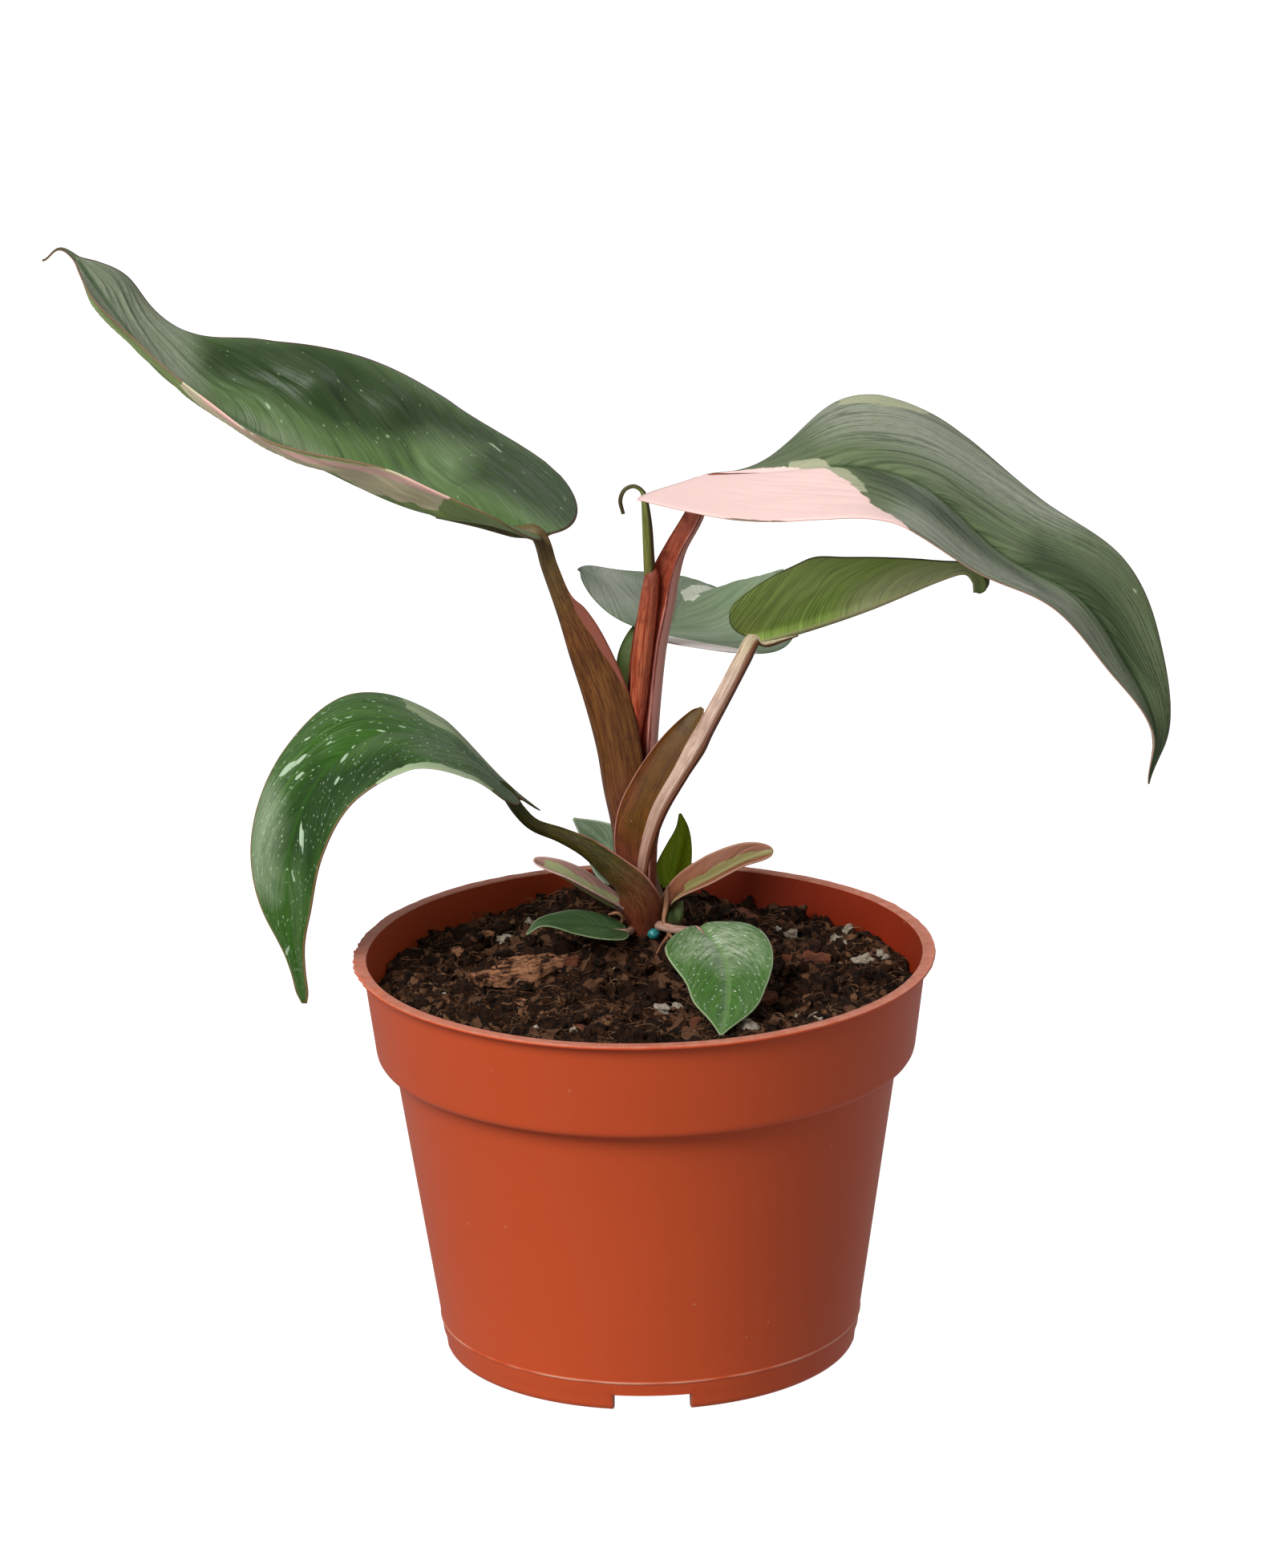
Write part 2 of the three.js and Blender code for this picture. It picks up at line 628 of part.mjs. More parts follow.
// Small leaves and the two bud scales. A stalk, where one is given, is grown onto the blade.
const SMALL_COLUMNS = [-1, -0.6, -0.2, 0.2, 0.6, 1];
const SMALL_LEAVES = {
  bud_scale_left: {
    colour: COLOURS.rosyBrown,
    midrib: [[0, 13, 77.5], [-5.5, 11, 81.2], [-10, 8, 85], [-14.5, 5, 89], [-20.5, 2, 93]],
    half: [4.6, 4.6],
    fold: [[40, 35, 30], [35, 30, 25]],
    roll: [25, 30],
  },
  bud_scale_right: {
    colour: COLOURS.rosyBrown,
    midrib: [[3, 14, 79], [7.5, 11, 84], [13, 9, 87.5], [19, 8, 91], [24.5, 7, 93.2]],
    half: [5, 5],
    fold: [[30, 30, 25], [30, 30, 25]],
    roll: [-35, -40],
  },
  leaf_small_front: {
    colour: COLOURS.paleGreen,
    midrib: [[10.3, 0, 81], [13.8, -8, 78.8], [15.2, -16, 76.2], [14.8, -25, 73.2], [13.6, -32.5, 70.6]],
    half: [8.8, 10.8],
    fold: [[5, 4, 0], [5, 4, 0]],
    roll: [0, 0],
    lobe: [0.02, 0.07],
    columns: [-1, -0.75, -0.4, 0, 0.4, 0.75, 1],
    rows: 12,
    stalk: {
      face: [0, 0, 1],
      stations: [
        roundAt(1.5, 14.5, 76.5, 1),
        roundAt(2.8, 9, 78.3, 0.9),
        roundAt(5.2, 6, 78.6, 0.9),
        roundAt(8.2, 3, 79.4, 0.8),
        roundAt(10.8, -0.8, 80.8, 0.7),
      ],
    },
  },
  leaf_small_low: {
    colour: COLOURS.midGreen,
    midrib: [[-3.5, 6, 78.3], [-8.7, 4, 80.2], [-13.8, 2, 81.5], [-19, 0, 82], [-21.8, -1, 80]],
    half: [4, 4],
    fold: [[-25, -30, -25], [10, 15, 10]],
    roll: [5, 5],
    stalk: {
      face: [0, 0, 1],
      stations: [roundAt(-2, 14, 76.5, 0.9), roundAt(-2.5, 9.5, 77.3, 0.9), roundAt(-4, 5.5, 78.3, 0.9)],
    },
  },
  leaf_small_back: {
    colour: COLOURS.paleGreen,
    midrib: [[-1.5, 25, 80], [-5, 29.5, 84], [-8.8, 33, 87], [-13.1, 36, 89.6]],
    half: [5.5, 5.5],
    fold: [[10, 10, 10], [10, 10, 10]],
    roll: [30, 45],
  },
  leaf_small_bright: {
    colour: COLOURS.limeGreen,
    midrib: [[4.2, 24, 79], [5.8, 25.5, 83], [7, 27, 87], [7.6, 28.5, 90.5], [7.2, 29, 93.6]],
    half: [3.4, 3],
    fold: [[15, 15, 10], [15, 15, 10]],
    roll: [10, 10],
    heading: 90,
  },
};

function smallLeaf(leaf, grow = 0) {
  const plain = { curl: [[0, 0], [0, 0]], lobe: [0.04, 0.04], columns: SMALL_COLUMNS, rows: 8, ribDepth: 0.3 };
  const shape = blade({ ...plain, ...leaf }, grow);
  return leaf.stalk ? shape.add(stalk(leaf.stalk, grow)) : shape;
}

// ---------------------------------------------------------------- assembly

// Every piece is cut clear of the ones placed before it, so the order is the order of growth: a stalk
// clasps those inside it, and the mix lies round whatever stands or rests in it.
const plant = new THREE.Group();
plant.position.set(...POT_AXIS, 0);
const rooms = [];

function place(name, make, colour, roughness) {
  const near = rooms.filter((room) => !room.intersect(make()).isEmpty());
  const mesh = new THREE.Mesh(geometryOf(without(make(), near)), material(colour, roughness));
  mesh.name = name;
  plant.add(mesh);
  rooms.push(make(GAP));
}

place("stem", stem, COLOURS.olive, 0.6);
for (const [name, leaf] of Object.entries(LARGE_LEAVES)) {
  place(`leaf_${name}`, (grow) => blade(leaf, grow), leaf.colour, 0.4);
}
for (const [name, part] of Object.entries(STALKS)) {
  place(name, (grow) => stalk(part, grow), part.colour, 0.45);
}
for (const [name, leaf] of Object.entries(SMALL_LEAVES)) {
  place(name, (grow) => smallLeaf(leaf, grow), leaf.colour, 0.45);
}
place("bark_chip", barkChip, COLOURS.bark, 0.9);
place("fertiliser_prill", prill, COLOURS.prill, 0.4);
place("soil", soil, COLOURS.mix, 0.95);
place("pot", pot, COLOURS.terracotta, 0.45);

export default plant;
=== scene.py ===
"""The looks of a pink princess philodendron in its nursery pot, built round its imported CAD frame.

Shapes are worked out in millimetres from the pot's own axis, and end in metres in the frame's axes.
"""

import math
import random
from functools import partial

import bmesh
import bpy
import numpy as np
from mathutils import Matrix, Vector, noise


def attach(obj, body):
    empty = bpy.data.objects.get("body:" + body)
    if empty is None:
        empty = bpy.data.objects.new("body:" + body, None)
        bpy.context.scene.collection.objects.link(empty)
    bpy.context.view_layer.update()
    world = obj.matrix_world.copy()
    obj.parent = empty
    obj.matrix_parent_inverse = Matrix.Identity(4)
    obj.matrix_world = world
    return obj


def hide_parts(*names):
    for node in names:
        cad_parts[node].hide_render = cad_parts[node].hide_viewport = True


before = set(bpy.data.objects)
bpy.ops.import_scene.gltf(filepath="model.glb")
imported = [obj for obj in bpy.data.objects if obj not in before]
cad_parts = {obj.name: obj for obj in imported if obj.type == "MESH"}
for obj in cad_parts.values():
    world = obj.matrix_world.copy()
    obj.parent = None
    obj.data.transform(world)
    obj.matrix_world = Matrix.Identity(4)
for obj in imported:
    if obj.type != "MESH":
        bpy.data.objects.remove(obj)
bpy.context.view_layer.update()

MM = 0.001
POT_AXIS = Vector((6, -26.5, 0))

# ---------------------------------------------------------------- curves


def curve(knots, place, ends="straight"):
    """Reads a smooth curve through evenly spaced knots at places from 0 to 1. Beyond its ends it runs
    straight on, is held at the last knot, or closes on itself."""
    knots = np.asarray(knots, float)
    if ends == "closed":
        padded = np.concatenate([knots[-1:], knots, knots[:2]])
    elif ends == "held":
        padded = np.concatenate([knots[:1], knots, knots[-1:]])
    else:
        before = 2 * knots[:1] - knots[1:2]
        after = 2 * knots[-1:] - knots[-2:-1]
        padded = np.concatenate([before, knots, after])
    spans = len(padded) - 3
    place = np.clip(np.asarray(place, float), 0, 1) * spans
    step = np.minimum(place.astype(int), spans - 1)
    part = place - step
    if knots.ndim == 2:
        part = part[:, None]
    a, b, c, d = (padded[step + k] for k in range(4))
    bend = (2 * a - 5 * b + 4 * c - d) * part**2 + (3 * b - a - 3 * c + d) * part**3
    return 0.5 * (2 * b + (c - a) * part + bend)


def unit(vectors):
    return vectors / np.linalg.norm(vectors, axis=1)[:, None]


def direction(knots, place, nudge=1e-4):
    """Which way a curve through space runs at places from 0 to 1."""
    return unit(curve(knots, np.minimum(1, place + nudge)) - curve(knots, np.maximum(0, place - nudge)))


def square_to(vectors, axis):
    """The part of each vector that stands square to its axis, at length one."""
    return unit(vectors - (vectors * axis).sum(1)[:, None] * axis)


def ramp(value, begins, over):
    """Grows from 0 where it begins to 1 a stretch further on."""
    return np.clip((value - begins) / over, 0, 1)


# ---------------------------------------------------------------- making a piece


def corners(shape):
    return np.array([v.co for v in shape.verts])


def move_to(verts, places):
    for vert, place in zip(verts, places):
        vert.co = place


def mark(shape, name, *numbers):
    """Keeps three numbers on every corner, for the materials to read."""
    layer = shape.verts.layers.float_vector.new(name)
    for vert, value in zip(shape.verts, np.stack(numbers, 1)):
        vert[layer] = value


def open_edges(shape):
    return [edge for edge in shape.edges if edge.is_boundary]


def facing_out(shape):
    bmesh.ops.recalc_face_normals(shape, faces=shape.faces)
    return shape


def in_scene(name, data):
    """A new object in the scene, for a mesh, a lamp or a camera."""
    made = bpy.data.objects.new(name, data)
    bpy.context.scene.collection.objects.link(made)
    return made


def solid(name, shape, finishes):
    """A new object in the scene, for a shape and its materials."""
    mesh = bpy.data.meshes.new(name)
    shape.to_mesh(mesh)
    shape.free()
    for finish in finishes:
        mesh.materials.append(finish)
    return in_scene(name, mesh)


def piece(name, shape, finishes, node=None, crease=None):
    """Ends a shape made in millimetres as a smooth piece that rides on the frame. Where its faces meet at
    more than the crease, in degrees, the edge is sharp."""
    shape.transform(Matrix.Scale(MM, 4) @ Matrix.Translation(POT_AXIS))
    made = solid(name, shape, finishes)
    made.data.shade_smooth()
    if crease:
        made.data.set_sharp_from_angle(angle=math.radians(crease))
    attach(made, "root")
    if node:
        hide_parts(node)


def many(shape, count):
    """Repeats what a shape holds until there are count copies of it."""
    verts, edges, faces = len(shape.verts), len(shape.edges), len(shape.faces)
    copies = 1
    while copies < count:
        more = min(copies, count - copies)
        geometry = shape.verts[: more * verts] + shape.edges[: more * edges] + shape.faces[: more * faces]
        bmesh.ops.duplicate(shape, geom=geometry)
        copies += more


def tube(sides, rows):
    """An open tube of squares, and for each corner how far round it and how far along it stands."""
    shape = bmesh.new()
    bmesh.ops.create_grid(shape, x_segments=sides, y_segments=rows, size=1)
    grid = (corners(shape) + 1) / 2
    return shape, grid[:, 0], grid[:, 1]


def close_tube(shape):
    """Joins the seams of tubes that have been put in shape, and closes their ends."""
    bmesh.ops.remove_doubles(shape, verts=shape.verts, dist=1e-4)
    bmesh.ops.holes_fill(shape, edges=open_edges(shape), sides=0)
    return facing_out(shape)


# ---------------------------------------------------------------- materials


def linear(hex_colour):
    """An sRGB hex colour as linear red, green, blue and alpha."""
    parts = [int(hex_colour[i : i + 2], 16) / 255 for i in (1, 3, 5)]
    return *[c / 12.92 if c <= 0.04045 else ((c + 0.055) / 1.055) ** 2.4 for c in parts], 1.0


def put(tree, kind, sockets=None, **settings):
    """Adds a node. A socket takes a value, a hex colour, a node, or a node and the name of its output."""
    node = tree.nodes.new("ShaderNode" + kind)
    for key, value in settings.items():
        setattr(node, key, value)
    for key, value in (sockets or {}).items():
        socket = node.inputs[key] if isinstance(key, int) else None
        socket = socket or next(s for s in node.inputs if s.name == key and s.enabled)
        if isinstance(value, bpy.types.Node):
            tree.links.new(next(s for s in value.outputs if s.enabled), socket)
        elif isinstance(value, tuple) and isinstance(value[0], bpy.types.Node):
            tree.links.new(value[0].outputs[value[1]], socket)
        else:
            socket.default_value = linear(value) if isinstance(value, str) else value
    return node


def start(name):
    """A new empty material, and the function that adds nodes to it."""
    made = bpy.data.materials.new(name)
    made.use_nodes = True
    made.node_tree.nodes.clear()
    return made, partial(put, made.node_tree)


def kept(add, name):
    """The three numbers that a piece keeps on its corners under a name: together, and each by itself."""
    stored = (add("Attribute", attribute_name=name), "Vector")
    return stored, add("SeparateXYZ", {"Vector": stored})


def grained(add, place, waves, detail, roughness):
    """Noise that is drawn out along a grain. Waves says how often it changes per unit, each way."""
    drawn = add("VectorMath", {0: place, 1: waves}, operation="MULTIPLY")
    return add("TexNoise", {"Vector": drawn, "Scale": 1.0, "Detail": detail, "Roughness": roughness})


def hair_line(add, value, middle, edges, strength):
    """A fine line where a value crosses its middle. It fades from its inner to its outer edge."""
    off_middle = add("Math", {0: value, 1: middle}, operation="SUBTRACT")
    away = add("Math", {0: off_middle}, operation="ABSOLUTE")
    return add("MapRange", {"Value": away, "From Min": edges[1], "From Max": edges[0], "To Max": strength})


def surface(add, colour, layers, rough, height, strength, distance, more):
    """Ends a material. Layers are laid one over the other, each as where it shows, from 0 to 1, and its
    colour. The relief's distance is in metres, and more holds what else the shader is given."""
    for shows, shade in layers:
        colour = add("Mix", {"Factor": shows, "A": colour, "B": shade}, data_type="RGBA")
    bump = add("Bump", {"Height": height, "Strength": strength, "Distance": distance})
    look = {"Base Color": colour, "Roughness": rough, "Normal": bump, "IOR": 1.45}
    look["Specular IOR Level"] = 0.3
    add("OutputMaterial", {"Surface": add("BsdfPrincipled", look | more)})


def see_through(weight, reach, scale):
    """How light spreads under a surface: how much of it, and how far red, green and blue go, as shares of
    a scale in metres."""
    return {"Subsurface Weight": weight, "Subsurface Radius": reach, "Subsurface Scale": scale}


def strewn_flecks(add, growth, crowd):
    """Pale flecks of a few tenths of a millimetre, strewn along the veins. Crowd is the share of places
    that hold one."""
    cells = add("VectorMath", {0: growth, 1: (2.3, 0.0, 1.0)}, operation="MULTIPLY")
    dots = add("TexVoronoi", {"Vector": cells, "Scale": 1.0})
    lot = add("SeparateColor", {"Color": (dots, "Color")})
    chosen = add("MapRange", {"Value": (lot, "Red"), "From Min": 1 - crowd, "From Max": 1.02 - crowd})
    size = add("Math", {0: (lot, "Green"), 1: 0.36}, operation="MULTIPLY")
    near = add("Math", {0: size, 1: (dots, "Distance")}, operation="SUBTRACT")
    spot = add("MapRange", {"Value": near, "From Min": 0.0, "From Max": 0.14, "To Max": 0.7})
    return add("Math", {0: chosen, 1: spot}, operation="MULTIPLY")


def wax_haze_and_sheen(add, growth, marked, haze_and_sheen_strength, grain):
    """How much wax bloom and painted sheen lie on a leaf. The bloom drifts over a centimetre or two, and
    the painted sheen is laid on where marked, where the bloom is thickest too.
    """
    clouds = grained(add, growth, (0.09, 0.08, 0.03), 3.0, 0.55)
    cloudy = add("MapRange", {"Value": clouds, "From Min": 0.35, "From Max": 0.7,
                              "To Max": 0.2 * haze_and_sheen_strength})
    wax_and_sheen = add("MapRange", {"Value": marked, "From Min": -3.5, "From Max": 4.0, "To Max": haze_and_sheen_strength})
    both = add("Math", {0: cloudy, 1: wax_and_sheen}, operation="ADD")
    powder = grained(add, growth, (1.4, 0.0, 0.5), 4.0, 0.8)
    grainy = add("MapRange", {"Value": powder, "From Min": 0.35, "From Max": 0.65, "To Min": 1 - grain,
                              "To Max": 1 + grain})
    return clouds, add("Math", {0: both, 1: grainy}, operation="MULTIPLY", use_clamp=True)


def leaf_skin(name, deep, fresh, haze_and_sheen, dark, rim, patches=(None, None), fleck=None, crowd=0.0,
              gloss=0.36, midrib=None, haze_and_sheen_strength=0.5, grain=0.3, lines=0.35, ragged=2.2, rim_width=0.22,
              rim_hold=0.8):
    """Living philodendron leaf: green tissue under a waxy cuticle, so it shines softly and is pale where
    the wax is thick, with painted sheen and painted shade laid on in marked outlines. Veins run through it
    in fine sweeps, and its patches end raggedly along them."""
    made, add = start(name)
    growth, where = kept(add, "growth")
    _, lies = kept(add, "tone")
    _, cast = kept(add, "bloom")

    # Fine veins stand about 0.4 mm apart, drawn here at 0.6 mm so that they show.
    streaks = grained(add, growth, (1.7, 0.0, 0.06), 4.0, 0.65)
    streaky = add("MapRange", {"Value": streaks, "From Min": 0.33, "From Max": 0.68})
    # Pale wax bloom, and painted sheen in the marked outlines where the leaf would shine.
    clouds, haze_and_sheen_share = wax_haze_and_sheen(add, growth, (cast, "Y"), haze_and_sheen_strength, grain)
    # Dark patches in the marked outlines: darker tissue, and painted shade on the shaded sides of bulges.
    shaded = add("MapRange", {"Value": (cast, "Z"), "From Min": -2.5, "From Max": 3.0, "To Max": 0.7})

    # Stronger side veins every 2 to 4 mm are dark hair lines, where a slower noise crosses its middle.
    swell = grained(add, growth, (0.6, 0.0, 0.015), 2.0, 0.6)
    hair = hair_line(add, swell, 0.5, (0.0, 0.03), lines)
    on_rib = hair_line(add, (where, "Y"), 0.0, (0.3, 0.75), 0.6)
    layers = [(streaky, fresh), (haze_and_sheen_share, haze_and_sheen), (shaded, dark), (hair, dark), (on_rib, midrib or fresh)]
    if crowd:
        layers.append((strewn_flecks(add, growth, crowd), fleck))
    at_rim = add("MapRange", {"Value": (lies, "Z"), "From Min": 2 * rim_width, "From Max": rim_width,
                              "To Max": rim_hold})
    layers.append((at_rim, rim))

    # The patches' edges are torn along the veins, in teeth 1 to 2 mm wide and up to 8 mm long.
    tears = grained(add, growth, (0.55, 0.0, 0.12), 4.0, 0.65)
    tear = add("MapRange", {"Value": tears, "To Min": -ragged, "To Max": ragged})
    smooth = 0.0
    for output, shade in zip("YX", reversed(patches)):
        if shade:
            depth = add("Math", {0: (lies, output), 1: tear}, operation="ADD")
            smooth = add("MapRange", {"Value": depth, "From Min": -0.1, "From Max": 0.15})
            layers.append((smooth, shade))
    if fleck:
        crisp = add("MapRange", {"Value": streaks, "From Min": 0.3, "From Max": 0.7, "To Min": -0.5,
                                 "To Max": 0.5})
        depth = add("Math", {0: (cast, "X"), 1: crisp}, operation="ADD")
        inside = add("MapRange", {"Value": depth, "From Min": -0.05, "From Max": 0.15, "To Max": 0.9})
        layers.append((inside, fleck))

    rough = add("MapRange", {"Value": clouds, "To Min": gloss - 0.08, "To Max": gloss + 0.12})
    relief = add("Math", {0: streaks, 1: hair}, operation="SUBTRACT")
    strength = add("MapRange", {"Value": smooth, "To Min": 0.5, "To Max": 0.08})
    flesh = see_through(0.06, (0.5, 1.0, 0.3), 0.001)
    surface(add, deep, layers, rough, relief, strength, distance=0.0004, more=flesh)
    return made


def stalk_skin(name, back, streak, dark, foot, channel=None, lip=None, crown=None, flank=None, gloss=0.4,
               dry=0.0):
    """Living leaf stalk: juicy tissue under a thin smooth skin with fine lengthwise streaks. The lips of
    the channel are thin and pink, and the foot blushes. A flank is a colour, and where it starts and where
    it is full, as shares of the stalk's half width."""
    made, add = start(name)
    growth, _ = kept(add, "growth")
    _, lies = kept(add, "tone")
    _, turned_by = kept(add, "bloom")

    # The streaks are vascular bundles 0.3 mm apart, drawn at 0.35 mm so that they show.
    bundles = grained(add, growth, (3.0, 3.0, 0.12), 4.0, 0.65)
    streaky = add("MapRange", {"Value": bundles, "From Min": 0.4, "From Max": 0.6})
    layers = [(streaky, streak)]
    mottles = grained(add, growth, (0.3, 0.3, 0.3), 4.0, 0.6)
    if channel:
        in_channel = add("Math", {0: (lies, "Y"), 1: mottles}, operation="MULTIPLY")
        bedded = add("MapRange", {"Value": in_channel, "From Min": 0.15, "From Max": 0.45})
        layers.append((bedded, channel))
    if crown:
        high = add("MapRange", {"Value": (lies, "Z"), "From Min": 0.5, "From Max": 0.9})
        layers.append((high, crown))
    shady = add("MapRange", {"Value": mottles, "From Min": 0.45, "From Max": 0.75, "To Max": 0.55})
    low = add("MapRange", {"Value": (lies, "Z"), "From Min": 0.3, "From Max": 0.02, "To Max": 0.75})
    swell = grained(add, growth, (1.8, 1.8, 0.072), 2.0, 0.5)
    hair = hair_line(add, swell, 0.5, (0.0, 0.035), 0.7)
    layers += [(shady, dark), (low, foot), (hair, dark)]
    uneven = add("MapRange", {"Value": mottles, "To Min": -0.35, "To Max": 0.35})
    if flank:
        shade, begins, full = flank
        shift = add("Math", {0: uneven, 1: 0.25}, operation="MULTIPLY")
        across = add("Math", {0: (turned_by, "X"), 1: shift}, operation="ADD")
        turned_to = add("MapRange", {"Value": across, "From Min": begins, "From Max": full})
        layers.append((turned_to, shade))
    if lip:
        depth = add("Math", {0: (lies, "X"), 1: uneven}, operation="ADD")
        edge = add("MapRange", {"Value": depth, "From Min": -0.1, "From Max": 0.15, "To Max": 0.9})
        layers.append((edge, lip))
    if dry:
        scabs = grained(add, growth, (1.6, 1.6, 0.7), 5.0, 0.7)
        scab = add("MapRange", {"Value": scabs, "From Min": 0.72 - dry, "From Max": 0.74 - dry,
                                "To Max": 0.8})
        layers.append((scab, "#D9C3B0"))
    flesh = see_through(0.08, (1.0, 0.5, 0.3), 0.0012)
    surface(add, back, layers, gloss, bundles, strength=0.4, distance=0.0003, more=flesh)
    return made


def moulded_polypropylene(name):
    """Injection-moulded polypropylene in terracotta: evenly coloured and satin, with a pale flash line
    near the foot, a paler, grainy top face to the lip, and painted shade that darkens the wall inside."""
    made, add = start(name)
    spot = (add("TexCoord"), "Object")
    place = add("SeparateXYZ", {"Vector": spot})
    flow = add("TexNoise", {"Vector": spot, "Scale": 26.0, "Detail": 3.0})
    _, within = kept(add, "within")

    # The lip's top face is paler, in grainy patches.
    grit = add("TexNoise", {"Vector": spot, "Scale": 420.0, "Detail": 4.0, "Roughness": 0.7})
    grit_patches = add("MapRange", {"Value": grit, "From Min": 0.3, "From Max": 0.7, "To Min": 0.35})
    on_lip = add("MapRange", {"Value": (within, "Y"), "From Min": 0.6, "From Max": 0.9})
    pale_lip_top = add("Math", {0: on_lip, 1: grit_patches}, operation="MULTIPLY")

    # The flash line is a hair of plastic about 0.2 mm wide, 5.8 mm above the ground.
    wander = add("TexNoise", {"Vector": spot, "Scale": 70.0, "Detail": 2.0})
    drift = add("MapRange", {"Value": wander, "To Min": -0.0004, "To Max": 0.0004})
    height = add("Math", {0: (place, "Z"), 1: drift}, operation="ADD")
    line = hair_line(add, height, 0.0058, (0.00012, 0.0003), 0.6)
    worn = add("MapRange", {"Value": wander, "From Min": 0.42, "From Max": 0.56})
    flash = add("Math", {0: line, 1: worn}, operation="MULTIPLY")

    specks = add("TexVoronoi", {"Vector": spot, "Scale": 150.0})
    speck = add("MapRange", {"Value": (specks, "Distance"), "From Min": 0.055, "From Max": 0.03,
                             "To Max": 0.25})
    rough = add("MapRange", {"Value": flow, "To Min": 0.36, "To Max": 0.5})
    peel = add("TexNoise", {"Vector": spot, "Scale": 900.0, "Detail": 2.0})
    body = see_through(0.15, (1.0, 0.25, 0.12), 0.0015) | {"IOR": 1.49}
    # The wall inside is darkened with painted shade, and the lip's top face is paler in grainy patches.
    layers = [(flow, "#C04A22"), ((within, "X"), "#88280F"), (pale_lip_top, "#D08A72"), (flash, "#E3B79E"),
              (speck, "#D9A48C")]
    surface(add, "#CB5125", layers, rough, peel, strength=0.12, distance=0.0002, more=body)
    return made


def loose_matter(name, dark, light, grain, rough=0.85, accent=None, sharp=(0.35, 0.65), stretch=(1, 1, 1)):
    """Loose dry matter of the potting mix, broken and matt. Its colour changes from crumb to crumb, and
    grain is the size in metres of its coarser shades."""
    made, add = start(name)
    spot = (add("TexCoord"), "Object")
    drawn = add("VectorMath", {0: spot, 1: stretch}, operation="MULTIPLY")
    shades = add("TexNoise", {"Vector": drawn, "Scale": 1 / grain, "Detail": 6.0, "Roughness": 0.72})
    mixed = add("MapRange", {"Value": shades, "From Min": sharp[0], "From Max": sharp[1]})
    layers = [(mixed, light)]
    if accent:
        bits = add("TexVoronoi", {"Vector": spot, "Scale": 0.7 / grain})
        lot = add("SeparateColor", {"Color": (bits, "Color")})
        few = add("MapRange", {"Value": (lot, "Red"), "From Min": 0.8, "From Max": 0.84, "To Max": 0.7})
        layers.append((few, accent))
    fine = add("TexNoise", {"Vector": drawn, "Scale": 2.4 / grain, "Detail": 5.0, "Roughness": 0.8})
    dull = {"Specular IOR Level": 0.25}
    surface(add, dark, layers, rough, fine, strength=1.0, distance=0.0009, more=dull)
    return made


def resin_coated_prill(name):
    """A prill of fertiliser in a coat of resin: dyed teal, smooth and a little glossy."""
    made, add = start(name)
    cast = add("TexNoise", {"Vector": (add("TexCoord"), "Object"), "Scale": 700.0, "Detail": 3.0})
    colour = add("Mix", {"Factor": cast, "A": "#17696C", "B": "#2C8F8E"}, data_type="RGBA")
    look = {"Base Color": colour, "Roughness": 0.42, "IOR": 1.5, "Coat Weight": 0.2}
    add("OutputMaterial", {"Surface": add("BsdfPrincipled", look)})
    return made
